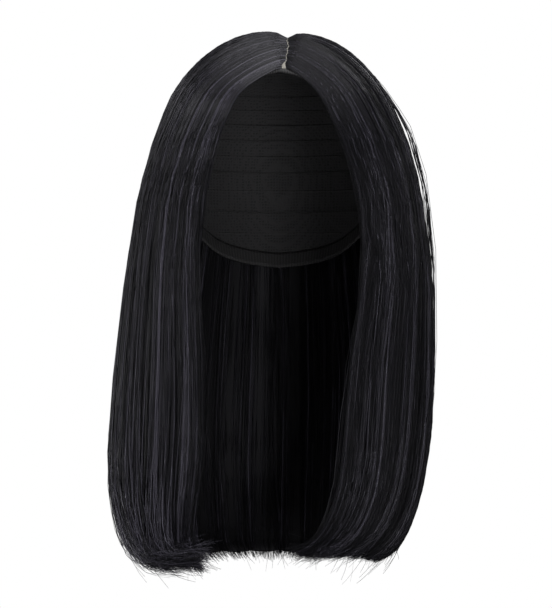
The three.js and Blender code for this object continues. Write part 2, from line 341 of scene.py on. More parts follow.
@dataclass(frozen=True)
class HairForm:
    """The smooth outside of the hair.

    A place on it is a side, a share of the way from the face opening (0) to the middle of the back (1), and
    a step along the strand: below 1 it arches from the parting, and from 1 on each whole number is a
    section.
    """

    cap: CapForm = CapForm()
    parting: Parting = Parting()
    left_lift: float = 0.56
    right_lift: float = 0.44
    hairline_lift: float = -0.55
    start_pull: float = 0.37
    end_pull: float = 0.34
    crown_share: float = 0.55
    fall_stride: float = 0.1
    share_stride: float = 0.005
    step_stride: float = 0.02
    cap_offset: float = 2.4
    thinnest: float = 0.5
    dome_wall: float = 22.0
    hanging_wall: float = 12.0
    tip_wall: float = 4.0
    free_step: float = 4.0
    tip_length: float = 3.0
    face_edge_share: float = 0.1
    face_edge_thinnest: float = 0.4
    locks_per_side: int = 12
    dome_relief: float = 0.6
    hanging_relief: float = 1.5
    relief_mean: float = 0.6
    root_fade: float = 0.6

    def column(self, name: str, place: Array) -> Array:
        """One size of the sections at places between them."""
        return along_table(np.array([getattr(section, name) for section in SECTIONS], dtype=float), place)

    def section_points(self, side: Side, share: Array, place: Array) -> Array:
        """Points of the hanging hair.

        Args:
            side: The side of the hair.
            share: Shares of the way from the face opening to the middle of the back.
            place: Numbers of the sections, whole or between them.

        Returns:
            The points.
        """
        reach = self.column(side.word, place)
        face_turn = np.arcsin(self.column(side.word + "_gap", place) / reach)
        turn = lerp(face_turn, np.pi, share)
        depth = np.where(turn < np.pi / 2, self.column("front", place), self.column("back", place))
        rise = self.column("right_rise", place) * (1.0 - share) ** 2 if side is Side.RIGHT else 0.0
        x = side.value * reach * np.sin(turn)
        return np.stack([x, -depth * np.cos(turn), self.column("z", place) + rise], axis=-1)

    def root_points(self, side: Side, share: Array) -> Array:
        """Where the hair grows: beside the parting, and fanned round its end on the crown.

        Args:
            side: The side of the hair.
            share: Shares of the way from the face opening to the middle of the back.

        Returns:
            The roots.
        """
        fan = np.maximum(0.0, share - self.crown_share) / (1.0 - self.crown_share) * (np.pi / 2)
        x, y, rise = self.parting.roots(share, self.crown_share)
        gap = self.parting.half_gaps(share)
        x = x + side.value * gap * np.cos(fan)
        y = y + gap * np.sin(fan)
        return np.stack([x, y, self.cap.top(x, y, self.cap.wall) + rise], axis=-1)

    def arch_points(self, side: Side, share: Array, step: Array) -> Array:
        """Points of the arch from the root to the first section.

        Args:
            side: The side of the hair.
            share: Shares of the way from the face opening to the middle of the back.
            step: Steps from 0 at the root to 1 at the section.

        Returns:
            The points, all clear of the cap.
        """
        root = self.root_points(side, share)
        first = np.zeros_like(share)
        hang = self.section_points(side, share, first)
        fall = unit(self.section_points(side, share, first + self.fall_stride) - hang)
        length = np.linalg.norm(hang - root, axis=-1, keepdims=True)
        away = unit((hang - root) * np.array([1.0, 1.0, 0.0]))
        lift = self.left_lift if side is Side.LEFT else self.right_lift
        away[..., 2] = lerp(self.hairline_lift, lift, smoothstep(share, 0.0, self.crown_share))
        start = root + unit(away) * length * self.start_pull
        end = hang - fall * length * self.end_pull
        t = step[..., None]
        s = 1.0 - t
        arch = s**3 * root + 3 * s * s * t * start + 3 * s * t * t * end + t**3 * hang
        return self.cap.pushed_out(arch, self.cap_offset)

    def points(self, side: Side, share: Array, step: Array) -> Array:
        """Points of the smooth outside.

        Args:
            side: The side of the hair.
            share: Shares of the way from the face opening to the middle of the back.
            step: Steps along the strands.

        Returns:
            The points.
        """
        share, step = np.broadcast_arrays(share, step)
        arch = self.arch_points(side, share, np.clip(step, 0.0, 1.0))
        hanging = self.section_points(side, share, np.maximum(step, 1.0) - 1.0)
        return np.where(step[..., None] < 1.0, arch, hanging)

    def normals(self, side: Side, share: Array, step: Array) -> Array:
        """Outward normals of the smooth outside.

        Args:
            side: The side of the hair.
            share: Shares of the way from the face opening to the middle of the back.
            step: Steps along the strands.

        Returns:
            The normals, with length one.
        """
        behind = self.points(side, share + self.share_stride, step)
        across = behind - self.points(side, share - self.share_stride, step)
        up = np.maximum(step - self.step_stride, 0.0)
        down = np.minimum(step + self.step_stride, TIP_STEP)
        along = self.points(side, share, down) - self.points(side, share, up)
        return unit(np.cross(across, along) * -side.value)

    def depth(self, share: Array, step: Array, points: Array, normals: Array) -> Array:
        """Thickness of the hair: down to the cap on top, and an even wall where it hangs.

        Args:
            share: Shares of the way from the face opening to the middle of the back.
            step: Steps along the strands.
            points: Points of the outside there.
            normals: Normals of the outside there.

        Returns:
            The thicknesses.
        """
        dome = lerp(self.dome_wall, self.hanging_wall, smoothstep(step, 0.0, self.free_step))
        wall = lerp(dome, self.tip_wall, smoothstep(step, TIP_STEP - self.tip_length, TIP_STEP))
        edge = lerp(self.face_edge_thinnest, 1.0, smoothstep(share, 0.0, self.face_edge_share))
        free = self.cap.distance(points, -normals, self.cap_offset)
        return np.minimum(wall * edge, np.maximum(free, self.thinnest))

    def relief(self, share: Array, step: Array) -> Array:
        """How far the rounded locks stand out of the smooth outside.

        Args:
            share: Shares of the way from the face opening to the middle of the back.
            step: Steps along the strands.

        Returns:
            The distances, below zero between the locks.
        """
        crest = np.sqrt(np.abs(np.sin(np.pi * share * self.locks_per_side)))
        full = lerp(self.dome_relief, self.hanging_relief, smoothstep(step, 0.0, self.free_step))
        return full * smoothstep(step, 0.0, self.root_fade) * (crest - self.relief_mean)


@dataclass(frozen=True)
class EndSweep:
    """A turn of some ends towards one place, strongest in the middle of a range of shares.

    The portion says how many of the fibres take it, the dip how far they sag in the bend, and the lateness
    how near to their ends they bend.
    """

    side: Side
    shares: Span
    from_step: float
    strength: float
    portion: float
    target: Triple
    scatter: Triple
    dip: float = 0.0
    start_scatter: float = 0.7
    lateness: float = 1.6
    unevenness: Span = (0.75, 1.1)

    def bend(
        self, points: Array, share: Array, step: Array, rng: np.random.Generator
    ) -> tuple[Array, Array]:
        """Pulls the ends of fibres towards the target.

        Args:
            points: The fibres' points.
            share: Each fibre's share.
            step: The step of every point.
            rng: Source of the scatter.

        Returns:
            The bent fibres, and how strongly each point of them lies in the bend.
        """
        low, high = self.shares
        inside = np.clip((share - low) / (high - low), 0.0, 1.0)
        taken = rng.random(share.shape) < self.portion
        uneven = rng.uniform(*self.unevenness, share.shape)
        weight = np.sqrt(np.sin(np.pi * inside)) * self.strength * taken * uneven
        goal = np.array(self.target) + rng.normal(size=(len(share), 3)) * np.array(self.scatter)
        start = self.from_step + rng.uniform(-self.start_scatter, self.start_scatter, (len(share), 1))
        ramp = smoothstep(step, start, TIP_STEP) ** self.lateness
        pull = (goal - points[:, -1]) * weight[:, None]
        bent = points + ramp[..., None] * pull[:, None, :]
        turn = weight[:, None] * np.sin(np.pi * ramp)
        bent[..., 2] -= self.dip * turn
        return bent, turn


END_SWEEPS: tuple[EndSweep, ...] = (
    EndSweep(
        Side.LEFT, shares=(0.06, 0.43), from_step=7.0, strength=0.65, portion=0.45,
        target=(-60.0, -57.0, -326.0), scatter=(10.0, 2.5, 6.0), dip=9.0, start_scatter=1.0, lateness=1.3,
    ),
    EndSweep(
        Side.LEFT, shares=(0.04, 0.46), from_step=8.4, strength=0.92, portion=0.92,
        target=(-55.0, -54.0, -329.0), scatter=(9.0, 2.5, 6.0), dip=11.0, lateness=2.1,
    ),
    EndSweep(
        Side.LEFT, shares=(-0.05, 0.13), from_step=10.8, strength=0.8, portion=0.65,
        target=(-45.0, -48.0, -327.0), scatter=(7.0, 3.0, 8.0),
    ),
    EndSweep(
        Side.RIGHT, shares=(-0.1, 0.24), from_step=10.4, strength=0.5, portion=0.75,
        target=(6.0, -47.0, -331.0), scatter=(6.0, 2.5, 5.0),
    ),
)


@dataclass(frozen=True)
class LooseLock:
    """A few fibres near one share that stand off from the rest over part of their length."""

    side: Side
    share: float
    width: float
    portion: float
    steps: Span
    reach: Span
    earliness: float = 0.5

    def lift(self, share: Array, step: Array, rng: np.random.Generator) -> Array:
        """How far the fibres stand off.

        Args:
            share: Each fibre's share.
            step: The step of every point.
            rng: Source of the choice among the fibres.

        Returns:
            The distances from the rest of the hair, a row for each fibre.
        """
        taken = (np.abs(share - self.share) < self.width / 2) & (rng.random(share.shape) < self.portion)
        reach = rng.uniform(*self.reach, share.shape) * taken
        start, end = self.steps
        along = np.clip((step - start) / (end - start), 0.0, 1.0)
        return reach[:, None] * np.sin(np.pi * along**self.earliness)


LOOSE_LOCKS: tuple[LooseLock, ...] = (
    LooseLock(Side.RIGHT, share=0.385, width=0.045, portion=0.15, steps=(0.8, 7.4), reach=(4.2, 6.8)),
)


# Steps of a fibre's points: close together on the arch, if it has one, and in the turned-under end
HANGING_STEPS: tuple[float, ...] = (1.1, 1.8, 3.0, 4.8, 6.8, 8.6, 9.7, 10.5, 11.2, 11.8, 12.3, 12.7, TIP_STEP)
ARCHED_STEPS: tuple[float, ...] = (0, 0.05, 0.13, 0.23, 0.35, 0.48, 0.61, 0.74, 0.88, *HANGING_STEPS)


@dataclass(frozen=True)
class LayerPlan:
    """How the fibres of one layer lie: where they grow, how far they sink in, and how thick they are.

    A fibre sinks by so many millimetres, and by no more than a share of the hair's thickness there. The depth
    of its root is a share of that thickness too.
    """

    layer: Layer
    roots: Span
    root_depth: float
    sink: Span
    most_sink: float
    radius: Span
    steps: tuple[float, ...]
    tint_shift: float = 0.0
    bundle_sink: float = 1.0


TOP_PLAN = LayerPlan(
    Layer.TOP, roots=(0.0, 0.02), root_depth=0.0, sink=(0.0, 0.9), most_sink=0.35, radius=(0.16, 0.26),
    steps=ARCHED_STEPS,
)
UNDER_PLAN = LayerPlan(
    Layer.UNDER, roots=(0.06, 0.95), root_depth=0.9, sink=(0.5, 2.0), most_sink=0.6, radius=(0.20, 0.33),
    steps=ARCHED_STEPS,
)
INNER_PLAN = LayerPlan(
    Layer.INNER, roots=(1.2, 4.6), root_depth=0.9, sink=(0.1, 0.8), most_sink=0.35, radius=(0.22, 0.36),
    steps=HANGING_STEPS, tint_shift=-0.06, bundle_sink=0.25,
)


@dataclass
class Fibres:
    """Points, radii and tints of a set of fibres, one row for each fibre."""

    points: Array
    radii: Array
    tints: Array
    seeds: Array


@dataclass
class Lay:
    """How a layer's fibres lie before they are placed in space, one row for each fibre.

    The base is a fibre's share before it drifts. The shares and the tints have a column for each point.
    """

    base: Array
    stray: Flags
    share: Array
    sink: Array
    tint: Array
    cut: Array


@dataclass(frozen=True)
class Bundling:
    """One way in which fibres lie together: how wide the bundles are and by how much they differ.

    The width and the drift are shares, the sink is in millimetres, the cut is in steps, the two tints are
    those of the arch and of the hanging length, and the tightness says how far the fibres draw together
    towards their ends.
    Towards a bundle's edges its fibres sink into the gap beside it and are darker there: painted shade of the
    gap.
    """

    width: float
    drift: float
    sink: float
    tints: Span
    cut: float
    tightness: Span = (0.0, 0.0)
    gap_sink: float = 0.0
    gap_tint: float = 0.0
    gap_start: float = 0.45


BUNDLINGS: tuple[Bundling, ...] = (
    Bundling(width=0.030, drift=0.006, sink=0.7, tints=(0.06, 0.08), cut=0.1, gap_sink=1.3, gap_tint=0.3),
    Bundling(width=0.013, drift=0.003, sink=0.4, tints=(0.09, 0.12), cut=0.05, gap_sink=0.5, gap_tint=0.16),
    Bundling(width=0.0055, drift=0.003, sink=0.5, tints=(0.10, 0.11), cut=0.12, tightness=(0.1, 0.75)),
    Bundling(width=0.0026, drift=0.001, sink=0.3, tints=(0.13, 0.13), cut=0.05, tightness=(0.2, 0.6)),
)


@dataclass
class FibreGrower:
    """Lays the fibres of one stretch of a side, in bundles that drift a little.

    Drifts are shares, and places along the strand run from 0 to 1. A wisp leaves the edge of the face
    opening, a stray fibre keeps out of the bundles, and a loose end bends away from the rest near its tip.
    """

    form: HairForm
    side: Side
    from_share: float
    to_share: float
    rng: np.random.Generator
    fewest_groups: int = 2
    group_unevenness: float = 0.42
    wave_turns: Span = (0.35, 1.2)
    wave_rise: Span = (0.02, 0.45)
    gather_start: float = 0.25
    fibre_drift: float = 0.0012
    fibre_tint: Span = (0.48, 0.2)
    tint_change: Span = (0.06, 0.25)
    # Share of the painted gap shade that the fibres keep near their roots
    root_gaps: float = 0.45
    # Strength of the painted sheen: how much lighter a fibre is made in the middle of its bend
    bend_tint: float = 0.45
    tip_ragged: float = 0.26
    wisp_portion: float = 0.03
    wisp_share: float = 0.03
    wisp_rise: Span = (0.02, 0.12)
    stray_portion: float = 0.03
    stray_drift: float = 0.02
    stray_rise: float = 1.0
    stray_thickness: float = 0.6
    loose_portion: float = 0.07
    loose_reach: float = 6.0
    firm_reach: float = 0.12
    loose_step: float = 11.0
    crown_roots: float = 0.06
    fan_start: float = 0.06
    point_shift: float = 0.4
    root_length: float = 0.3
    root_turn: float = 0.08
    root_lift: float = 0.3
    root_taper: float = 0.7
    root_taper_end: float = 0.06
    tip_taper: float = 0.35
    tip_taper_start: float = 0.86

    def groups(self, share: Array, width: float) -> tuple[NDArray[np.int64], Array]:
        """Shares fibres out among groups of uneven width.

        Args:
            share: Each fibre's share.
            width: Mean width of a group, as a share.

        Returns:
            Each fibre's group number, and the groups' middles.
        """
        count = max(self.fewest_groups, round((self.to_share - self.from_share) / width))
        shifts = self.rng.uniform(-self.group_unevenness, self.group_unevenness, count)
        places = np.arange(count) + 0.5 + shifts
        middles = lerp(self.from_share, self.to_share, places / count)
        return np.searchsorted((middles[1:] + middles[:-1]) / 2, share), middles

    def drift(self, count: int, reach: float, along: Array) -> Array:
        """Slow sideways waves, one for each of count groups.

        Args:
            count: Number of waves.
            reach: Usual sideways reach.
            along: Places along the strand from 0 to 1.

        Returns:
            The waves' values, a row for each group and a column for each place.
        """
        turns = self.rng.uniform(*self.wave_turns, (count, 1))
        phase = self.rng.uniform(0.0, 2 * np.pi, (count, 1))
        size = self.rng.normal(size=(count, 1)) * reach
        wave = np.sin(2 * np.pi * turns * along[None, :] + phase)
        return size * wave * smoothstep(along, *self.wave_rise)[None, :]

    def bundle(self, lay: Lay, bundling: Bundling, plan: LayerPlan, along: Array) -> None:
        """Draws fibres together into bundles of one kind.

        Args:
            lay: How the fibres lie, which is changed.
            bundling: The kind of bundles.
            plan: The layer's plan.
            along: Places along the strand from 0 to 1.
        """
        rng = self.rng
        hanging = smoothstep(along, *self.tint_change)[None, :]
        group, middle = self.groups(lay.base, bundling.width)
        tight = rng.uniform(*bundling.tightness, len(middle))[group] * ~lay.stray
        drawn = tight[:, None] * smoothstep(along, self.gather_start, 1.0)[None, :]
        lay.share = lerp(lay.share, middle[group][:, None], drawn)
        lay.share = lay.share + self.drift(len(middle), bundling.drift, along)[group]
        aside = np.abs(lay.base - middle[group]) / (bundling.width / 2)
        gap = smoothstep(aside, bundling.gap_start, 1.0)
        deeper = rng.uniform(0, bundling.sink, len(middle))[group] + bundling.gap_sink * gap
        lay.sink = lay.sink + deeper * plan.bundle_sink
        lay.tint = lay.tint + lerp(*bundling.tints, hanging) * rng.normal(size=(len(middle), 1))[group]
        # Painted shade: fibres near a bundle's edge are darkened for the shadow in the gap, less so near the
        # roots
        lay.tint = lay.tint - bundling.gap_tint * gap[:, None] * lerp(self.root_gaps, 1.0, hanging)
        lay.cut = lay.cut + np.abs(rng.normal(0, bundling.cut, len(middle)))[group]

    def lay_out(self, plan: LayerPlan, count: int, along: Array) -> Lay:
        """Spreads fibres over the stretch and draws them into bundles.

        Args:
            plan: The layer's plan.
            count: Number of fibres.
            along: Places along the strand from 0 to 1.

        Returns:
            How the fibres lie.
        """
        rng = self.rng
        base = lerp(self.from_share, self.to_share, (np.arange(count) + rng.random(count)) / count)
        stray = rng.random(count) < self.stray_portion
        sink = rng.uniform(*plan.sink, count)
        tint = rng.normal(*self.fibre_tint, (count, 1)) + plan.tint_shift
        cut = np.abs(rng.normal(size=count)) * self.tip_ragged
        share, tint = (np.repeat(first, len(along), axis=1) for first in (base[:, None], tint))
        lay = Lay(base, stray, share, sink, tint, cut)
        for bundling in BUNDLINGS:
            self.bundle(lay, bundling, plan, along)
        lay.share = lay.share + self.drift(count, self.fibre_drift, along)
        lay.share = lay.share + self.drift(count, self.stray_drift, along) * stray[:, None]
        if self.from_share == 0 and plan.layer is Layer.TOP:
            chosen = (rng.random(count) < self.wisp_portion) * rng.random(count)
            wisp = chosen * smoothstep(base, self.wisp_share, 0.0)
            rise = smoothstep(along, *self.wisp_rise)
            lay.share = lay.share - self.wisp_share * wisp[:, None] * rise[None, :]
        return lay

    def steps(self, plan: LayerPlan, lay: Lay, along: Array) -> tuple[Array, Array]:
        """Steps of the fibres' points, a little shifted from fibre to fibre.

        Args:
            plan: The layer's plan.
            lay: How the fibres lie.
            along: Places along the strand from 0 to 1.

        Returns:
            The steps of the roots in one column, and those of all the points.
        """
        count = len(lay.base)
        root = self.rng.uniform(*plan.roots, count)
        if plan.layer is Layer.TOP:
            crown = self.form.crown_share
            beyond = smoothstep(lay.base, crown, crown + self.fan_start)
            root = root + beyond * self.rng.random(count) ** 2 * self.crown_roots
        end = TIP_STEP - lay.cut
        room = np.minimum(np.diff(along, prepend=0.0), np.diff(along, append=1.0))
        shift = self.rng.uniform(-self.point_shift, self.point_shift, (count, 1))
        shifted = along[None, :] + room[None, :] * shift
        return root[:, None], root[:, None] + shifted * (end - root)[:, None]

    def place(self, plan: LayerPlan, lay: Lay, along: Array, root: Array, step: Array) -> Array:
        """Puts fibres at their depth in the hair.

        Args:
            plan: The layer's plan.
            lay: How the fibres lie.
            along: Places along the strand from 0 to 1.
            root: Steps of the roots, in one column.
            step: The step of every point.

        Returns:
            The fibres' points.
        """
        side, form = self.side, self.form
        smooth = form.points(side, lay.share, step)
        normal = form.normals(side, lay.share, step)
        depth = form.depth(lay.share, step, smooth, normal)
        sink = np.minimum(lay.sink[:, None], plan.most_sink * depth)
        if plan.layer is Layer.INNER:
            sink = depth - sink
        sink = lerp(plan.root_depth * depth, sink, smoothstep(step, root, root + self.root_length))
        lifted = lay.stray[:, None] * np.abs(self.drift(len(lay.base), self.stray_rise, along))
        for lock in LOOSE_LOCKS:
            if lock.side is side and plan.layer is Layer.TOP:
                lifted = lifted + lock.lift(lay.base, step, self.rng)
        points = smooth + normal * (form.relief(lay.share, step) - sink + lifted)[..., None]
        if plan.layer is Layer.TOP:
            rise = form.parting.roots(lay.share, form.crown_share)[2] - self.root_lift
            points[..., 2] -= rise * (1.0 - smoothstep(step, root, root + self.root_turn))
        return points

    def turn_ends(self, plan: LayerPlan, lay: Lay, step: Array, points: Array) -> Array:
        """Sweeps the ends towards their places, and bends the loose ones away.

        Args:
            plan: The layer's plan.
            lay: How the fibres lie, whose tints are made lighter in the bend as a painted sheen.
            step: The step of every point.
            points: The fibres' points.

        Returns:
            The fibres' points with their ends turned.
        """
        for sweep in END_SWEEPS:
            if sweep.side is self.side and plan.layer is not Layer.INNER:
                points, turn = sweep.bend(points, lay.base, step, self.rng)
                # Painted sheen: fibres are made lighter in the middle of their bend, where a highlight would
                # fall
                lay.tint = lay.tint + self.bend_tint * turn
        count = len(lay.base)
        away = self.rng.normal(size=(count, 3)) * self.loose_reach
        reach = np.where(self.rng.random(count) < self.loose_portion, 1.0, self.firm_reach)
        late = smoothstep(step, self.loose_step, TIP_STEP) ** 2
        return points + (away * reach[:, None])[:, None, :] * late[..., None]

    def grow(self, plan: LayerPlan, count: int) -> Fibres:
        """Lays one layer's fibres.

        Args:
            plan: The layer's plan.
            count: Number of fibres.

        Returns:
            The fibres, in millimetres.
        """
        steps = np.array(plan.steps)
        along = (steps - steps[0]) / (TIP_STEP - steps[0])
        lay = self.lay_out(plan, count, along)
        root, step = self.steps(plan, lay, along)
        points = self.turn_ends(plan, lay, step, self.place(plan, lay, along, root, step))
        thick = self.rng.uniform(*plan.radius, count) * np.where(lay.stray, self.stray_thickness, 1.0)
        from_root = lerp(self.root_taper, 1.0, smoothstep(along, 0.0, self.root_taper_end))
        taper = from_root * lerp(1.0, self.tip_taper, smoothstep(along, self.tip_taper_start, 1.0))
        radii = thick[:, None] * taper[None, :]
        return Fibres(points, radii, np.clip(lay.tint, 0.0, 1.0), self.rng.random((count, 1)))


class NodeSketch:
    """Adds nodes and links to one node tree."""

    def __init__(self, tree: bpy.types.NodeTree) -> None:
        """Starts on a tree, which is emptied first."""
        self.tree = tree
        tree.nodes.clear()

    def node(self, kind: str, feeds: Feeds | None = None, **settings: Any) -> bpy.types.Node:
        """Adds one node.

        Args:
            kind: Blender's name for the node's type.
            feeds: Sources of its inputs, as fill takes them.
            settings: Properties of the node, which are set first.

        Returns:
            The new node.
        """
        made = self.tree.nodes.new(kind)
        for name, value in settings.items():
            setattr(made, name, value)
        self.fill(made, feeds or {})
        return made

    def fill(self, node: bpy.types.Node, feeds: Feeds) -> None:
        """Feeds inputs of a node.

        Args:
            node: The node.
            feeds: Sources of its inputs by their names or numbers, each an output socket or a plain value.
        """
        for key, source in feeds.items():
            if isinstance(source, bpy.types.NodeSocket):
                self.tree.links.new(source, node.inputs[key])
            else:
                node.inputs[key].default_value = source

    def math(self, operation: str, *terms: Any) -> bpy.types.NodeSocket:
        """Adds a Math node for Blender's operation of that name, and gives back the result's socket."""
        return self.node("ShaderNodeMath", dict(enumerate(terms)), operation=operation).outputs[0]

    def spread(self, value: Any, low: float, high: float) -> bpy.types.NodeSocket:
        """Stretches a value from 0 to 1 over another range, and gives back its socket."""
        node = self.node("ShaderNodeMapRange", {"Value": value, "To Min": low, "To Max": high})
        return node.outputs["Result"]


class GeometryTree(NodeSketch):
    """A Geometry Nodes tree with named inputs that turns one object's mesh into another."""

    def __init__(self, name: str) -> None:
        """Makes an empty tree with a geometry input and output.

        Args:
            name: The tree's name.
        """
        super().__init__(bpy.data.node_groups.new(name, "GeometryNodeTree"))
        for way in ("INPUT", "OUTPUT"):
            self.tree.interface.new_socket("Geometry", in_out=way, socket_type=InputKind.SHAPE.value)
        self.source = self.node("NodeGroupInput")
        self.sink = self.node("NodeGroupOutput")

    def given(self, name: str, kind: InputKind) -> bpy.types.NodeSocket:
        """Adds a named input and gives back its socket."""
        self.tree.interface.new_socket(name, in_out="INPUT", socket_type=kind.value)
        return self.source.outputs[name]

    def curves(self) -> bpy.types.NodeSocket:
        """Turns the lines that go in into curves, and gives back their socket."""
        lines = self.source.outputs["Geometry"]
        return self.node("GeometryNodeMeshToCurve", {"Mesh": lines}).outputs["Curve"]

    def named(self, name: str) -> bpy.types.NodeSocket:
        """Reads a number stored on the geometry, and gives back its socket."""
        node = self.node("GeometryNodeInputNamedAttribute", {"Name": name}, data_type="FLOAT")
        return node.outputs["Attribute"]

    def stored(
        self, shape: bpy.types.NodeSocket, name: str, value: Any, data_type: str, domain: str
    ) -> bpy.types.NodeSocket:
        """Stores a value on a shape.

        Args:
            shape: The shape's socket.
            name: Name for the stored value.
            value: The value's socket.
            data_type: Blender's name for its type.
            domain: Blender's name for what it is stored on.

        Returns:
            Socket of the shape with its value.
        """
        feeds = {"Geometry": shape, "Name": name, "Value": value}
        node = self.node("GeometryNodeStoreNamedAttribute", feeds, data_type=data_type, domain=domain)
        return node.outputs["Geometry"]

    def joined(self, *shapes: bpy.types.NodeSocket) -> bpy.types.NodeSocket:
        """Joins shapes in order.

        Args:
            shapes: Sockets of the shapes.

        Returns:
            The joined shape's socket.
        """
        node = self.node("GeometryNodeJoinGeometry")
        for shape in shapes:
            self.fill(node, {"Geometry": shape})
        return node.outputs["Geometry"]

    def smooth(self, shape: bpy.types.NodeSocket) -> bpy.types.NodeSocket:
        """Shades a shape smooth, and gives back its socket."""
        return self.node("GeometryNodeSetShadeSmooth", {"Geometry": shape}).outputs["Geometry"]

    def finish(self, shape: bpy.types.NodeSocket, material: bpy.types.NodeSocket) -> None:
        """Ends the tree: instances are made real and the material is set.

        Args:
            shape: The made shape's socket.
            material: The material's socket.
        """
        real = self.node("GeometryNodeRealizeInstances", {"Geometry": shape}).outputs["Geometry"]
        dressed = self.node("GeometryNodeSetMaterial", {"Geometry": real, "Material": material})
        self.fill(self.sink, {"Geometry": dressed.outputs["Geometry"]})

    def apply(self, host: bpy.types.Object, **inputs: Any) -> bpy.types.Object:
        """Runs the tree on an object and keeps the result as its plain mesh.

        Args:
            host: Object whose mesh goes in.
            inputs: Values of the tree's inputs, with underscores for the blanks in their names.

        Returns:
            The same object, with the made mesh and no modifier.
        """
        modifier = host.modifiers.new(self.tree.name, "NODES")
        modifier.node_group = self.tree
        for item in self.tree.interface.items_tree:
            key = item.name.replace(" ", "_").lower()
            if item.in_out == "INPUT" and key in inputs:
                modifier[item.identifier] = inputs[key]
        graph = bpy.context.evaluated_depsgraph_get()
        ready = host.evaluated_get(graph)
        made = bpy.data.meshes.new_from_object(ready, preserve_all_data_layers=True, depsgraph=graph)
        host.modifiers.remove(modifier)
        guide = host.data
        host.data = made
        made.name = host.name
        bpy.data.meshes.remove(guide)
        return host


class FibreTree(GeometryTree):
    """Turns guide lines into tapered fibres over a core, each with its own strip of the map."""

    strip_width: ClassVar[float] = 1.0 / 48.0
    seed_spread: ClassVar[float] = 40.0
    noise_middle: ClassVar[Triple] = (0.5, 0.5, 0.5)

    def __init__(self) -> None:
        """Builds the tree."""
        super().__init__("fibre_tree")
        core = self.given("Core", InputKind.THING)
        sides = self.given("Sides", InputKind.COUNT)
        frizz = self.given("Frizz", InputKind.NUMBER)
        grain = self.given("Frizz Scale", InputKind.NUMBER)
        seed = self.given("Seed", InputKind.NUMBER)
        material = self.given("Material", InputKind.FINISH)

        shaking = {"Geometry": self.curves(), "Offset": self.shake(frizz, grain, seed)}
        shaken = self.node("GeometryNodeSetPosition", shaking)
        thickening = {
            "Curve": shaken.outputs["Geometry"],
            "Profile Curve": self.profile(sides),
            "Scale": self.named("fibre_radius"),
            "Fill Caps": True,
        }
        tube = self.node("GeometryNodeCurveToMesh", thickening)
        fibres = self.smooth(self.mapped(tube.outputs["Mesh"]))
        info = self.node("GeometryNodeObjectInfo", {"Object": core})
        self.finish(self.joined(fibres, info.outputs["Geometry"]), material)

    def shake(self, frizz: Any, grain: Any, seed: Any) -> bpy.types.NodeSocket:
        """Small uneven offsets that grow along each fibre.

        Args:
            frizz: Socket of the largest offset.
            grain: Socket of the noise's scale.
            seed: Socket of the noise's seed.

        Returns:
            The offsets' socket.
        """
        own = self.math("ADD", seed, self.math("MULTIPLY", self.named("fibre_seed"), self.seed_spread))
        noise = self.node("ShaderNodeTexNoise", {"Scale": grain, "W": own}, noise_dimensions="4D")
        centring = {0: noise.outputs["Color"], 1: self.noise_middle}
        centred = self.node("ShaderNodeVectorMath", centring, operation="SUBTRACT")
        growing = self.math("MULTIPLY", frizz, self.named("fibre_along"))
        scaling = {0: centred.outputs["Vector"], "Scale": growing}
        return self.node("ShaderNodeVectorMath", scaling, operation="SCALE").outputs["Vector"]

    def profile(self, sides: Any) -> bpy.types.NodeSocket:
        """Round section of a fibre, numbered round so that its map has width.

        Args:
            sides: Socket of the number of sides.

        Returns:
            The section's socket.
        """
        circle = self.node("GeometryNodeCurvePrimitiveCircle", {"Resolution": sides, "Radius": 1.0})
        index = self.node("GeometryNodeInputIndex")
        around = self.math("DIVIDE", index.outputs["Index"], self.math("SUBTRACT", sides, 1.0))
        return self.stored(circle.outputs["Curve"], "fibre_around", around, "FLOAT", "POINT")

    def mapped(self, mesh: bpy.types.NodeSocket) -> bpy.types.NodeSocket:
        """Lays each fibre on the map: its tint across, and its length upwards.

        Args:
            mesh: Socket of the fibres' mesh.

        Returns:
            Socket of the mesh with its map.
        """
        shifted = self.math("MULTIPLY", self.named("fibre_around"), self.strip_width)
        across = self.math("MULTIPLY_ADD", self.named("fibre_tint"), 1.0 - self.strip_width, shifted)
        place = self.node("ShaderNodeCombineXYZ", {"X": across, "Y": self.named("fibre_along")})
        return self.stored(mesh, MAP_NAME, place.outputs["Vector"], "FLOAT2", "CORNER")


@dataclass(frozen=True)
class Seam:
    """A sewn row: its cord, and the slanted stitches over it. The slant is in radians."""

    cord_radius: float
    stitch_spacing: float
    stitch_size: Triple
    stitch_slant: float
    seed: int


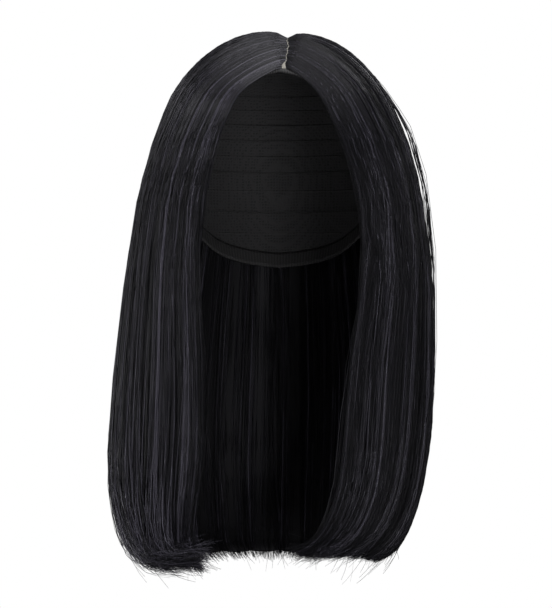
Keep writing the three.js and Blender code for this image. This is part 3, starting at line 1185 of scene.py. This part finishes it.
class SeamTree(GeometryTree):
    """Turns lines into sewn cords: a round cord with slanted stitches over it."""

    cord_sides: ClassVar[int] = 5
    slant_unevenness: ClassVar[Span] = (0.8, 1.2)

    def __init__(self) -> None:
        """Builds the tree."""
        super().__init__("seam_tree")
        radius = self.given("Cord Radius", InputKind.NUMBER)
        spacing = self.given("Stitch Spacing", InputKind.NUMBER)
        size = self.given("Stitch Size", InputKind.SIZES)
        slant = self.given("Stitch Slant", InputKind.NUMBER)
        seed = self.given("Seed", InputKind.COUNT)
        material = self.given("Material", InputKind.FINISH)

        lines = self.curves()
        rounding = {"Resolution": self.cord_sides, "Radius": radius}
        circle = self.node("GeometryNodeCurvePrimitiveCircle", rounding)
        thickening = {"Curve": lines, "Profile Curve": circle.outputs["Curve"], "Fill Caps": True}
        cord = self.node("GeometryNodeCurveToMesh", thickening)
        places = self.node("GeometryNodeCurveToPoints", {"Curve": lines, "Length": spacing}, mode="LENGTH")
        stitch = self.node("GeometryNodeMeshIcoSphere", {"Radius": 1.0})
        stitching = {
            "Points": places.outputs["Points"],
            "Instance": stitch.outputs["Mesh"],
            "Rotation": self.slanted(places.outputs["Rotation"], slant, seed),
            "Scale": size,
        }
        stitches = self.node("GeometryNodeInstanceOnPoints", stitching)
        sewn = self.joined(cord.outputs["Mesh"], stitches.outputs["Instances"])
        self.finish(self.smooth(sewn), material)

    def slanted(self, rotation: Any, slant: Any, seed: Any) -> bpy.types.NodeSocket:
        """Lays a stitch along its line and slants it by a slightly uneven angle.

        Args:
            rotation: Socket of the line's own rotation.
            slant: Socket of the mean slant.
            seed: Socket of the unevenness's seed.

        Returns:
            Socket of the stitches' rotation.
        """
        low, high = self.slant_unevenness
        limits = {"Min": low, "Max": high, "Seed": seed}
        uneven = self.node("FunctionNodeRandomValue", limits, data_type="FLOAT")
        angle = self.math("MULTIPLY", slant, uneven.outputs["Value"])
        lying = self.node("ShaderNodeCombineXYZ", {"X": angle, "Y": math.pi / 2})
        turning = {"Rotation": rotation, "Rotate By": lying.outputs["Vector"]}
        return self.node("FunctionNodeRotateRotation", turning, rotation_space="LOCAL").outputs["Rotation"]

    def sew(
        self, name: str, lines: list[Array], seam: Seam, material: bpy.types.Material
    ) -> bpy.types.Object:
        """Makes a piece of sewn rows.

        Args:
            name: The piece's name.
            lines: Lines of points in millimetres.
            seam: Sizes of the rows.
            material: Their finish.

        Returns:
            The piece.
        """
        return self.apply(
            new_object(name, lines_mesh(name, lines)),
            cord_radius=seam.cord_radius * MM,
            stitch_spacing=seam.stitch_spacing * MM,
            stitch_size=tuple(size * MM for size in seam.stitch_size),
            stitch_slant=seam.stitch_slant,
            seed=seam.seed,
            material=material,
        )


def new_object(name: str, mesh: bpy.types.Mesh) -> bpy.types.Object:
    """Adds an object to the scene.

    Args:
        name: The object's name.
        mesh: Its mesh.

    Returns:
        The object.
    """
    made = bpy.data.objects.new(name, mesh)
    bpy.context.scene.collection.objects.link(made)
    return made


def lines_mesh(name: str, lines: list[Array]) -> bpy.types.Mesh:
    """Makes a mesh of bare edges.

    Args:
        name: The mesh's name.
        lines: Lines of points in millimetres.

    Returns:
        The mesh, with the lines' points in order.
    """
    starts = np.cumsum([0] + [len(line) for line in lines])
    numbers = [np.arange(start, end) for start, end in zip(starts, starts[1:])]
    edges = np.concatenate([np.stack([number[:-1], number[1:]], axis=-1) for number in numbers])
    mesh = bpy.data.meshes.new(name)
    mesh.vertices.add(int(starts[-1]))
    mesh.vertices.foreach_set("co", (np.concatenate(lines) * MM).astype(np.float32).ravel())
    mesh.edges.add(len(edges))
    mesh.edges.foreach_set("vertices", edges.astype(np.int32).ravel())
    mesh.update()
    return mesh


def fibre_lines(name: str, sets: list[Fibres]) -> bpy.types.Object:
    """Makes the guide lines of sets of fibres.

    Args:
        name: The object's name.
        sets: The sets of fibres, in millimetres.

    Returns:
        An object of bare edges, with each point's radius, tint and place along its fibre stored on it.
    """
    mesh = lines_mesh(name, [line for fibres in sets for line in fibres.points])
    shapes = [fibres.radii.shape for fibres in sets]
    values = {
        "fibre_radius": [fibres.radii * MM for fibres in sets],
        "fibre_tint": [fibres.tints for fibres in sets],
        "fibre_seed": [np.broadcast_to(fibres.seeds, shape) for fibres, shape in zip(sets, shapes)],
        "fibre_along": [np.broadcast_to(np.linspace(0.0, 1.0, shape[1]), shape) for shape in shapes],
    }
    for key, parts in values.items():
        flat = np.concatenate([part.ravel() for part in parts]).astype(np.float32)
        mesh.attributes.new(key, "FLOAT", "POINT").data.foreach_set("value", flat)
    return new_object(name, mesh)


def quads(*corners: Any) -> NDArray[np.int64]:
    """Rows of four point numbers from four grids of them."""
    return np.stack([np.asarray(corner).ravel() for corner in corners], axis=-1)


def wall_faces(columns: int, rows: int, ring: bool) -> NDArray[np.int64]:
    """Faces that close an outside and an inside grid of points into one wall.

    Args:
        columns: Number of columns of each grid.
        rows: Number of rows of each grid.
        ring: Whether the last column meets the first.

    Returns:
        Four point numbers for each face. The inside's numbers follow the outside's.
    """
    out = np.arange(columns * rows).reshape(columns, rows)
    inn = out + columns * rows
    here = np.arange(columns if ring else columns - 1)
    there = (here + 1) % columns
    up, down = slice(None, -1), slice(1, None)
    faces = [
        quads(out[here, up], out[there, up], out[there, down], out[here, down]),
        quads(inn[here, down], inn[there, down], inn[there, up], inn[here, up]),
        quads(out[there, 0], out[here, 0], inn[here, 0], inn[there, 0]),
        quads(out[here, -1], out[there, -1], inn[there, -1], inn[here, -1]),
    ]
    if not ring:
        faces.append(quads(out[0, down], inn[0, down], inn[0, up], out[0, up]))
        faces.append(quads(out[-1, down], out[-1, up], inn[-1, up], inn[-1, down]))
    return np.concatenate(faces)


def wall_mesh(name: str, outside: Array, inside: Array, ring: bool) -> bpy.types.Mesh:
    """Makes a closed wall between an outside and an inside grid of points.

    Args:
        name: The mesh's name.
        outside: Points in columns and rows, in millimetres.
        inside: The inner points, in the same order.
        ring: Whether the last column meets the first.

    Returns:
        The mesh, smooth shaded, with its columns across and its rows up its map.
    """
    columns, rows = outside.shape[:2]
    corners = wall_faces(columns, rows, ring)
    points = np.concatenate([outside.reshape(-1, 3), inside.reshape(-1, 3)])
    a, b, c = (points[corners[:, k]] for k in (0, 1, 2))
    if (a * np.cross(b, c)).sum() < 0:
        corners = corners[:, ::-1]
    mesh = bpy.data.meshes.new(name)
    mesh.from_pydata((points * MM).tolist(), [], corners.tolist())
    mesh.polygons.foreach_set("use_smooth", np.ones(len(corners), dtype=bool))
    layer = mesh.uv_layers.new(name=MAP_NAME)
    flat = corners.ravel() % (columns * rows)
    across = ((flat // rows) / (columns if ring else columns - 1)).reshape(corners.shape)
    seam = across.max(axis=1, keepdims=True) - across > 1 / 2
    upward = (flat % rows) / (rows - 1)
    places = np.stack([(across + seam).ravel(), upward], axis=-1)
    layer.uv.foreach_set("vector", places.astype(np.float32).ravel())
    mesh.update()
    return mesh


def settle(piece: bpy.types.Object, slot: Slot, *nodes: str) -> bpy.types.Object:
    """Ties a finished piece to the body, and hides the nodes that it stands for.

    Args:
        piece: The finished object.
        slot: Its slot in the record; not used.
        nodes: Names of the nodes that it replaces.

    Returns:
        The same object.
    """
    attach(piece, BODY)
    if nodes:
        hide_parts(*nodes)
    LOG.info("%s: %d faces", piece.name, len(piece.data.polygons))
    return piece


@dataclass(frozen=True)
class Finish:
    """What every finish shares: a name and a principled surface."""

    name: str

    def start(self) -> tuple[bpy.types.Material, NodeSketch, bpy.types.Node]:
        """Makes an empty material.

        Returns:
            The material, a sketch of its nodes and its principled shader.
        """
        material = bpy.data.materials.new(self.name)
        material.use_nodes = True
        sketch = NodeSketch(material.node_tree)
        shader = sketch.node("ShaderNodeBsdfPrincipled")
        sketch.node("ShaderNodeOutputMaterial", {"Surface": shader.outputs["BSDF"]})
        return material, sketch, shader

    @staticmethod
    def ramp(sketch: NodeSketch, value: Any, stops: Shades) -> bpy.types.NodeSocket:
        """Colours a value by stops along the way.

        Args:
            sketch: Sketch of the material's nodes.
            value: Socket of a value from 0 to 1.
            stops: Places from 0 to 1 and their colours.

        Returns:
            The colour's socket.
        """
        node = sketch.node("ShaderNodeValToRGB", {"Fac": value})
        elements = node.color_ramp.elements
        while len(elements) < len(stops):
            elements.new(1 / 2)
        for element, (place, colour) in zip(elements, stops):
            element.position = place
            element.color = (*colour, 1.0)
        return node.outputs["Color"]

    @staticmethod
    def bump(sketch: NodeSketch, shader: bpy.types.Node, height: Any, relief: Span) -> None:
        """Raises the surface by a height pattern.

        Args:
            sketch: Sketch of the material's nodes.
            shader: The principled shader.
            height: Socket of the pattern.
            relief: The bump's strength, and its height in metres.
        """
        strength, distance = relief
        node = sketch.node("ShaderNodeBump", {"Strength": strength, "Distance": distance, "Height": height})
        sketch.fill(shader, {"Normal": node.outputs["Normal"]})


@dataclass(frozen=True)
class FibreFinish(Finish):
    """Black synthetic fibre with a soft sheen, a little different from fibre to fibre and along each."""

    name: str = "black_fibre"
    shades: Shades = (
        (0.0, (0.0012, 0.0012, 0.0015)),
        (0.4, (0.0027, 0.0026, 0.0034)),
        (0.7, (0.0086, 0.0081, 0.0107)),
        (1.0, (0.0370, 0.0350, 0.0455)),
    )
    roughness: Span = (0.56, 0.2)
    specular: float = 0.2
    tint: Colour = (0.93, 0.92, 1.0)
    streaks: Triple = (90.0, 5.0, 0.0)
    streak_detail: float = 2.0
    wander: float = 0.25

    def make(self) -> bpy.types.Material:
        """Makes the material on the fibres' own map.

        Returns:
            The material.
        """
        material, sketch, shader = self.start()
        place = sketch.node("ShaderNodeUVMap", uv_map=MAP_NAME).outputs["UV"]
        apart = sketch.node("ShaderNodeSeparateXYZ", {"Vector": place})
        stretched = sketch.node("ShaderNodeMapping", {"Vector": place, "Scale": self.streaks})
        streaking = {"Vector": stretched.outputs["Vector"], "Scale": 1.0, "Detail": self.streak_detail}
        noise = sketch.node("ShaderNodeTexNoise", streaking)
        wander = sketch.spread(noise.outputs["Fac"], -self.wander, self.wander)
        tone = sketch.math("ADD", apart.outputs["X"], wander)
        look = {
            "Base Color": self.ramp(sketch, tone, self.shades),
            "Roughness": sketch.spread(tone, *self.roughness),
            "Specular IOR Level": self.specular,
            "Specular Tint": (*self.tint, 1.0),
        }
        sketch.fill(shader, look)
        return material


@dataclass(frozen=True)
class NetFinish(Finish):
    """Matt black stretch net: dark holes between fine threads."""

    name: str = "black_net"
    hole: Colour = (0.0030, 0.0030, 0.0034)
    thread: Colour = (0.016, 0.0155, 0.017)
    cells_per_metre: float = 520.0
    cell_unevenness: float = 0.35
    thread_width: float = 0.16
    roughness: float = 0.82
    relief: Span = (0.6, 0.0008)

    def make(self) -> bpy.types.Material:
        """Makes the material on object coordinates.

        Returns:
            The material.
        """
        material, sketch, shader = self.start()
        place = sketch.node("ShaderNodeTexCoord").outputs["Object"]
        netting = {"Vector": place, "Scale": self.cells_per_metre, "Randomness": self.cell_unevenness}
        cells = sketch.node("ShaderNodeTexVoronoi", netting, feature="DISTANCE_TO_EDGE").outputs["Distance"]
        edge = 2 * self.thread_width
        stops = ((0.0, self.thread), (self.thread_width, self.thread), (edge, self.hole))
        sketch.fill(shader, {"Base Color": self.ramp(sketch, cells, stops), "Roughness": self.roughness})
        raised = sketch.math("SUBTRACT", 1.0, sketch.math("MINIMUM", cells, edge))
        self.bump(sketch, shader, raised, self.relief)
        return material


@dataclass(frozen=True)
class TapeFinish(Finish):
    """Matt black woven tape, with fine ribs across it."""

    name: str = "black_tape"
    dark: Colour = (0.0045, 0.0043, 0.0047)
    light: Colour = (0.021, 0.020, 0.0215)
    ribs: float = 420.0
    rib_waver: float = 0.4
    rows: float = 3.0
    row_shades: Span = (0.5, 1.0)
    roughness: float = 0.78
    relief: Span = (0.5, 0.0004)

    def make(self) -> bpy.types.Material:
        """Makes the material on the tape's own map.

        Returns:
            The material.
        """
        material, sketch, shader = self.start()
        place = sketch.node("ShaderNodeUVMap", uv_map=MAP_NAME).outputs["UV"]
        ribbing = {"Vector": place, "Scale": self.ribs / math.tau, "Distortion": self.rib_waver}
        ribs = sketch.node("ShaderNodeTexWave", ribbing, wave_type="BANDS", bands_direction="X")
        weaving = {"Vector": place, "Scale": self.rows}
        rows = sketch.node("ShaderNodeTexWave", weaving, wave_type="BANDS", bands_direction="Y")
        across = sketch.spread(rows.outputs["Fac"], *self.row_shades)
        weave = sketch.math("MULTIPLY", ribs.outputs["Fac"], across)
        colour = self.ramp(sketch, weave, ((0.0, self.dark), (1.0, self.light)))
        sketch.fill(shader, {"Base Color": colour, "Roughness": self.roughness})
        self.bump(sketch, shader, weave, self.relief)
        return material


@dataclass(frozen=True)
class SkinFinish(Finish):
    """Pale matt fabric of the parting, with a fine knit and small dark root holes."""

    name: str = "pale_skin_fabric"
    pale: Colour = (0.17, 0.16, 0.138)
    shade: Colour = (0.09, 0.084, 0.072)
    root: Colour = (0.03, 0.028, 0.027)
    knit_per_metre: float = 2600.0
    knit_places: Span = (0.3, 0.65)
    roots_per_metre: float = 1100.0
    root_radius: float = 0.2
    roughness: float = 0.72
    relief: Span = (0.3, 0.0002)

    def make(self) -> bpy.types.Material:
        """Makes the material on object coordinates.

        Returns:
            The material.
        """
        material, sketch, shader = self.start()
        place = sketch.node("ShaderNodeTexCoord").outputs["Object"]
        knitting = {"Vector": place, "Scale": self.knit_per_metre}
        knit = sketch.node("ShaderNodeTexNoise", knitting).outputs["Fac"]
        cloth = self.ramp(sketch, knit, tuple(zip(self.knit_places, (self.shade, self.pale))))
        piercing = {"Vector": place, "Scale": self.roots_per_metre}
        holes = sketch.node("ShaderNodeTexVoronoi", piercing, feature="F1")
        in_hole = sketch.math("LESS_THAN", holes.outputs["Distance"], self.root_radius)
        mixing = {"Factor": in_hole, "A": cloth, "B": (*self.root, 1.0)}
        mixed = sketch.node("ShaderNodeMix", mixing, data_type="RGBA")
        sketch.fill(shader, {"Base Color": mixed.outputs["Result"], "Roughness": self.roughness})
        self.bump(sketch, shader, knit, self.relief)
        return material


@dataclass(frozen=True)
class FloorFinish(Finish):
    """Plain pale floor, nearly without gloss."""

    name: str = "pale_floor"
    colour: Colour = (0.9, 0.9, 0.9)
    roughness: float = 0.9
    specular: float = 0.1

    def make(self) -> bpy.types.Material:
        """Makes the material, the same all over.

        Returns:
            The material.
        """
        material, sketch, shader = self.start()
        look = {
            "Base Color": (*self.colour, 1.0),
            "Roughness": self.roughness,
            "Specular IOR Level": self.specular,
        }
        sketch.fill(shader, look)
        return material


@dataclass
class HairPanel:
    """One panel of hair: a dark core under its fibres.

    The panel takes the place of a node over a range of shares on one side. The core sinks by so many
    millimetres below the outside, and by no more than a share of the hair's thickness there.
    """

    node: str
    piece: str
    side: Side
    from_share: float
    to_share: float
    outer_count: int
    inner_count: int
    seed: int
    form: HairForm = field(default_factory=HairForm)
    top_portion: float = 0.58
    core_sink: float = 3.0
    core_most_sink: float = 0.88
    core_inner: float = 1.2
    core_most_inner: float = 0.2
    core_thinnest: float = 0.2
    core_steps: tuple[float, ...] = (
        0.1, 0.16, 0.24, 0.34, 0.46, 0.62, 0.8, 1, 1.5, 2, 3, 4, 5.5, 7, 8.5, 9.6, 10.6, 11.4, 12, 12.4,
    )
    core_columns_per_side: int = 110
    core_fewest_columns: int = 4
    face_inset: float = 0.012
    sides: int = 3
    frizz: float = 0.6
    frizz_scale: float = 34.0

    def fibres(self) -> list[Fibres]:
        """Lays the fibres of every layer.

        Returns:
            A set of fibres for each layer.
        """
        rng = np.random.default_rng(self.seed)
        grower = FibreGrower(self.form, self.side, self.from_share, self.to_share, rng)
        top = round(self.outer_count * self.top_portion)
        counts = ((TOP_PLAN, top), (UNDER_PLAN, self.outer_count - top), (INNER_PLAN, self.inner_count))
        return [grower.grow(plan, count) for plan, count in counts]

    def core(self) -> bpy.types.Object:
        """Makes the closed dark wall that the fibres lie on.

        Returns:
            The wall, on the darkest strip of the fibres' map.
        """
        start = self.from_share + (self.face_inset if self.from_share == 0 else 0.0)
        wanted = round((self.to_share - start) * self.core_columns_per_side)
        columns = np.linspace(start, self.to_share, max(self.core_fewest_columns, wanted))
        share, step = np.meshgrid(columns, np.array(self.core_steps), indexing="ij")
        smooth = self.form.points(self.side, share, step)
        normal = self.form.normals(self.side, share, step)
        depth = self.form.depth(share, step, smooth, normal)
        sink = np.minimum(self.core_sink, self.core_most_sink * depth)
        outside = smooth + normal * (self.form.relief(share, step) - sink)[..., None]
        inner = depth - np.minimum(self.core_inner, self.core_most_inner * depth)
        inside = smooth - normal * np.maximum(inner, sink + self.core_thinnest)[..., None]
        mesh = wall_mesh(self.piece + "_core", outside, inside, ring=False)
        # Painted shade: the core is squeezed onto the darkest strip of the map, so the gaps between fibres
        # read as deep shade
        flat = np.empty(len(mesh.loops) * 2, dtype=np.float32)
        mesh.uv_layers[MAP_NAME].uv.foreach_get("vector", flat)
        flat[0::2] *= FibreTree.strip_width
        mesh.uv_layers[MAP_NAME].uv.foreach_set("vector", flat)
        return new_object(mesh.name, mesh)

    def build(self, tree: FibreTree, material: bpy.types.Material) -> bpy.types.Object:
        """Makes the whole panel.

        Args:
            tree: The tree that turns guide lines into fibres.
            material: The fibre's finish.

        Returns:
            The dressed piece.
        """
        core = self.core()
        piece = fibre_lines(self.piece, self.fibres())
        tree.apply(
            piece,
            core=core,
            sides=self.sides,
            frizz=self.frizz * MM,
            frizz_scale=self.frizz_scale,
            seed=float(self.seed),
            material=material,
        )
        bpy.data.meshes.remove(core.data)
        return settle(piece, Slot.FIBRE, self.node)


# Shares at which one stretch of hair gives way to the next. The back laps a little past its middle
FRONT_END = 1 / 6
SIDE_END = 0.5
BACK_END = 1.005


@dataclass(frozen=True)
class PanelPair:
    """One stretch of hair, with a panel on each side. The braces in its names stand for the side."""

    node: str
    piece: str
    shares: Span
    outer_count: int
    inner_count: int
    seeds: tuple[int, int]

    def panels(self) -> list[HairPanel]:
        """Plans the two panels.

        Returns:
            The left panel and the right one.
        """
        return [
            HairPanel(
                node=self.node.format(side.word),
                piece=self.piece.format(side.word),
                side=side,
                from_share=self.shares[0],
                to_share=self.shares[1],
                outer_count=self.outer_count,
                inner_count=self.inner_count,
                seed=seed,
            )
            for side, seed in zip(Side, self.seeds)
        ]


PANEL_PAIRS: tuple[PanelPair, ...] = (
    PanelPair(
        "{}_front_hair", "{}_front_fibres", shares=(0.0, FRONT_END),
        outer_count=820, inner_count=180, seeds=(11, 12),
    ),
    PanelPair(
        "{}_side_hair", "{}_side_fibres", shares=(FRONT_END, SIDE_END),
        outer_count=1160, inner_count=280, seeds=(13, 14),
    ),
    PanelPair(
        "back_hair", "back_{}_fibres", shares=(SIDE_END, BACK_END),
        outer_count=940, inner_count=540, seeds=(15, 16),
    ),
)


@dataclass
class CapShell:
    """The cap: its net dome with rows of sewn wefts, its edge band with stitches, and the parting strip.

    The strip's edges are across, and its ends along. It rises a little in the middle and sinks towards its
    edges, between two distances from the parting.
    """

    form: CapForm = field(default_factory=CapForm)
    parting: Parting = field(default_factory=Parting)
    merge_distance: float = 0.001
    round_facing: float = 0.85
    band_width: float = 8.0
    band_columns: int = 160
    band_rows: int = 4
    band_seam: Seam = Seam(
        cord_radius=0.1, stitch_spacing=3.2, stitch_size=(1.1, 0.28, 0.28), stitch_slant=0.25, seed=6
    )
    band_seam_places: Span = (0.16, 0.84)
    band_seam_inset: float = 0.12
    strip_edges: Span = (-3.4, 9.4)
    strip_ends: Span = (-66.2, 26.4)
    strip_grid: tuple[int, int] = (13, 48)
    strip_lap: float = -62.4
    strip_lap_gap: float = 0.02
    strip_rise: Span = (0.12, -0.5)
    strip_flat: Span = (2.5, 5.0)
    weft_spacing: float = 11.0
    weft_inset: float = 0.45
    weft_margin: float = 3.0
    weft_points: int = 120
    weft_fewest_points: int = 3
    weft_seam: Seam = Seam(
        cord_radius=0.6, stitch_spacing=4.5, stitch_size=(1.1, 0.4, 0.4), stitch_slant=0.9, seed=5
    )

    def dome(self, material: bpy.types.Material) -> bpy.types.Object:
        """Copies the dome's solid, and shades its faces round as the cap's form is.

        Args:
            material: The net's finish.

        Returns:
            The dressed piece.
        """
        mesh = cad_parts["cap_dome"].data.copy()
        mesh.name = "cap_net_dome"
        joined = bmesh.new()
        joined.from_mesh(mesh)
        bmesh.ops.remove_doubles(joined, verts=joined.verts, dist=self.merge_distance * MM)
        joined.to_mesh(mesh)
        joined.free()
        mesh.materials.clear()
        mesh.materials.append(material)
        corner = np.empty(len(mesh.loops), dtype=np.int32)
        mesh.loops.foreach_get("vertex_index", corner)
        points = np.empty(len(mesh.vertices) * 3, dtype=np.float32)
        mesh.vertices.foreach_get("co", points)
        round_out = self.form.normal(points.reshape(-1, 3).astype(float)[corner] / MM)
        flat = np.array([face.normal for face in mesh.polygons])
        flat = np.repeat(flat, [face.loop_total for face in mesh.polygons], axis=0)
        facing = (flat * round_out).sum(-1, keepdims=True)
        normals = np.where(np.abs(facing) > self.round_facing, round_out * np.sign(facing), flat)
        mesh.polygons.foreach_set("use_smooth", np.ones(len(mesh.polygons), dtype=bool))
        mesh.normals_split_custom_set(normals.tolist())
        return settle(new_object(mesh.name, mesh), Slot.NET, "cap_dome")

    def weft_lines(self) -> list[Array]:
        """Level rows inside the dome, clear of the edge band and of the parting strip.

        Returns:
            Lines of points in millimetres.
        """
        turns = np.linspace(0.0, 2 * np.pi, self.weft_points + 1)
        margin = (self.band_width + self.weft_margin) / self.form.crown_height
        lowest = self.form.edge_latitude(turns) + margin
        left, right = (edge + way * self.weft_margin for edge, way in zip(self.strip_edges, (-1, 1)))
        strip_end = self.strip_ends[1] + self.weft_margin
        lines = []
        pitch = self.weft_spacing / self.form.crown_height
        for latitude in np.arange(np.pi / 2 - pitch, lowest.min(), -pitch):
            row = self.form.point(turns, np.full_like(turns, latitude), -self.weft_inset)
            on_strip = (row[:, 0] > left) & (row[:, 0] < right) & (row[:, 1] < strip_end)
            kept = (latitude > lowest) & ~on_strip
            breaks = np.flatnonzero(np.diff(kept.astype(int))) + 1
            runs = np.split(np.arange(len(turns)), breaks)
            lines.extend(row[run] for run in runs if kept[run[0]] and len(run) >= self.weft_fewest_points)
        return lines

    def wefts(self, tree: SeamTree, material: bpy.types.Material) -> bpy.types.Object:
        """Makes the sewn rows inside the dome."""
        return settle(tree.sew("cap_wefts", self.weft_lines(), self.weft_seam, material), Slot.NET)

    def band(self, material: bpy.types.Material) -> bpy.types.Object:
        """Makes the tape round the rim.

        Args:
            material: The tape's finish.

        Returns:
            The dressed piece.
        """
        turns = np.linspace(0.0, 2 * np.pi, self.band_columns, endpoint=False)[:, None]
        up = np.linspace(1.0, 0.0, self.band_rows + 1)[None, :]
        latitude = self.form.edge_latitude(turns) + up * self.band_width / self.form.crown_height
        turn = np.broadcast_to(turns, latitude.shape)
        outside = self.form.point(turn, latitude, self.form.wall)
        inside = self.form.point(turn, latitude, 0.0)
        mesh = wall_mesh("edge_tape_band", outside, inside, ring=True)
        mesh.materials.append(material)
        return settle(new_object(mesh.name, mesh), Slot.TAPE, "edge_band")

    def band_stitches(self, tree: SeamTree, material: bpy.types.Material) -> bpy.types.Object:
        """Makes the two rows of stitches along the inside of the band.

        Args:
            tree: The tree that sews lines.
            material: The thread's finish.

        Returns:
            The dressed piece.
        """
        turns = np.linspace(0.0, 2 * np.pi, self.band_columns + 1)
        rows = []
        for height in self.band_seam_places:
            latitude = self.form.edge_latitude(turns) + height * self.band_width / self.form.crown_height
            rows.append(self.form.point(turns, latitude, -self.band_seam_inset))
        return settle(tree.sew("edge_stitches", rows, self.band_seam, material), Slot.TAPE)

    def strip(self, material: bpy.types.Material) -> bpy.types.Object:
        """Makes the pale strip, which laps over the band in front.

        Args:
            material: The strip's finish.

        Returns:
            The dressed piece.
        """
        columns, rows = self.strip_grid
        across = np.linspace(*self.strip_edges, columns)
        along = np.linspace(*self.strip_ends, rows)
        x, y = np.meshgrid(across, along, indexing="ij")
        lapped = y < self.strip_lap
        aside = np.abs(x - self.parting.crown[0])
        rise = lerp(*self.strip_rise, smoothstep(aside, *self.strip_flat) * ~lapped)
        wall = self.form.wall
        outside = np.stack([x, y, self.form.top(x, y, wall) + rise], axis=-1)
        lap_top = self.form.top(x, y, wall + self.strip_lap_gap)
        inside = np.stack([x, y, np.where(lapped, lap_top, self.form.top(x, y, 0.0))], axis=-1)
        mesh = wall_mesh("parting_skin", outside, inside, ring=False)
        mesh.materials.append(material)
        return settle(new_object(mesh.name, mesh), Slot.SKIN, "parting_strip")


@dataclass(frozen=True)
class SoftLight:
    """A square soft light: its place and the length of its sides in metres, and its power in watts."""

    name: str
    place: Triple
    size: float
    power: float


SOFT_LIGHTS: tuple[SoftLight, ...] = (
    SoftLight("left_softbox", place=(-2.0, -0.15, 1.15), size=1.0, power=36.0),
    SoftLight("right_softbox", place=(1.3, -0.8, 1.7), size=1.0, power=26.0),
    SoftLight("low_left_softbox", place=(-2.2, 0.1, -0.3), size=0.8, power=25.0),
    SoftLight("front_fill", place=(0.6, -2.2, -0.65), size=0.5, power=22.0),
    SoftLight("overhead", place=(0.1, -0.3, 1.7), size=1.4, power=29.0),
    SoftLight("back_softbox", place=(0.9, 2.1, 0.7), size=1.4, power=24.0),
)


@dataclass(frozen=True)
class Studio:
    """Pale floor, soft lights, a white surrounding and the camera."""

    image_height_px: int = 608
    mm_per_pixel: float = 0.65
    centre: Triple = (-2.3, 0.0, -171.0)
    camera_distance_m: float = 2.0
    sensor_mm: float = 36.0
    floor_z_m: float = -0.8
    floor_radius_m: float = 4.0
    floor_corners: int = 96
    ambient: float = 1.0
    glossy_ambient: float = 0.05
    white: Colour = (1.0, 1.0, 1.0)

    def camera(self) -> bpy.types.Object:
        """Makes the camera, level and straight in front.

        Returns:
            The camera.
        """
        data = bpy.data.cameras.new("camera")
        data.sensor_width = self.sensor_mm
        view_height_m = self.image_height_px * self.mm_per_pixel * MM
        data.lens = self.sensor_mm * self.camera_distance_m / view_height_m
        made = bpy.data.objects.new("camera", data)
        x, _, z = (value * MM for value in self.centre)
        made.location = (x, -self.camera_distance_m, z)
        made.rotation_euler = (math.pi / 2, 0.0, 0.0)
        bpy.context.scene.collection.objects.link(made)
        bpy.context.scene.camera = made
        return made

    def floor(self) -> bpy.types.Object:
        """Makes the pale floor.

        Returns:
            The floor.
        """
        turns = np.linspace(0.0, 2 * np.pi, self.floor_corners, endpoint=False)
        rim = np.stack([np.cos(turns), np.sin(turns), np.zeros_like(turns)], axis=-1) * self.floor_radius_m
        mesh = bpy.data.meshes.new("floor")
        corners = (rim + np.array([0.0, 0.0, self.floor_z_m])).tolist()
        mesh.from_pydata(corners, [], [list(range(len(rim)))])
        mesh.materials.append(FloorFinish().make())
        made = new_object("floor", mesh)
        made.visible_glossy = False
        return made

    def light(self, plan: SoftLight) -> bpy.types.Object:
        """Adds a soft light that faces the middle of the hair.

        Args:
            plan: The light's place, size and power.

        Returns:
            The light.
        """
        data = bpy.data.lights.new(plan.name, "AREA")
        data.size = plan.size
        data.energy = plan.power
        made = bpy.data.objects.new(plan.name, data)
        made.location = plan.place
        aim = Vector((0.0, 0.0, self.centre[2] * MM)) - Vector(plan.place)
        made.rotation_euler = aim.to_track_quat("-Z", "Y").to_euler()
        bpy.context.scene.collection.objects.link(made)
        return made

    def surrounding(self) -> bpy.types.World:
        """Makes the white surrounding, which hardly shows in the hair's gloss.

        Returns:
            The world.
        """
        world = bpy.data.worlds.new("studio")
        world.use_nodes = True
        sketch = NodeSketch(world.node_tree)
        rays = sketch.node("ShaderNodeLightPath")
        strength = sketch.spread(rays.outputs["Is Glossy Ray"], self.ambient, self.glossy_ambient)
        background = sketch.node("ShaderNodeBackground", {"Strength": strength, "Color": (*self.white, 1.0)})
        sketch.node("ShaderNodeOutputWorld", {"Surface": background.outputs["Background"]})
        return world

    def build(self) -> None:
        """Sets up the whole studio."""
        self.camera()
        self.floor()
        for plan in SOFT_LIGHTS:
            self.light(plan)
        scene = bpy.context.scene
        scene.view_settings.view_transform = "Standard"
        scene.world = self.surrounding()


def main() -> None:
    """Builds and dresses the wig and its studio."""
    logging.basicConfig(level=logging.INFO, format="%(name)s: %(message)s")
    Studio().build()
    fibre = FibreFinish().make()
    tree = FibreTree()
    for pair in PANEL_PAIRS:
        for panel in pair.panels():
            panel.build(tree, fibre)
    cap = CapShell()
    net = NetFinish().make()
    tape = TapeFinish().make()
    seam = SeamTree()
    cap.dome(net)
    cap.wefts(seam, net)
    cap.band(tape)
    cap.band_stitches(seam, net)
    cap.strip(SkinFinish().make())


if __name__ == "__main__":
    main()
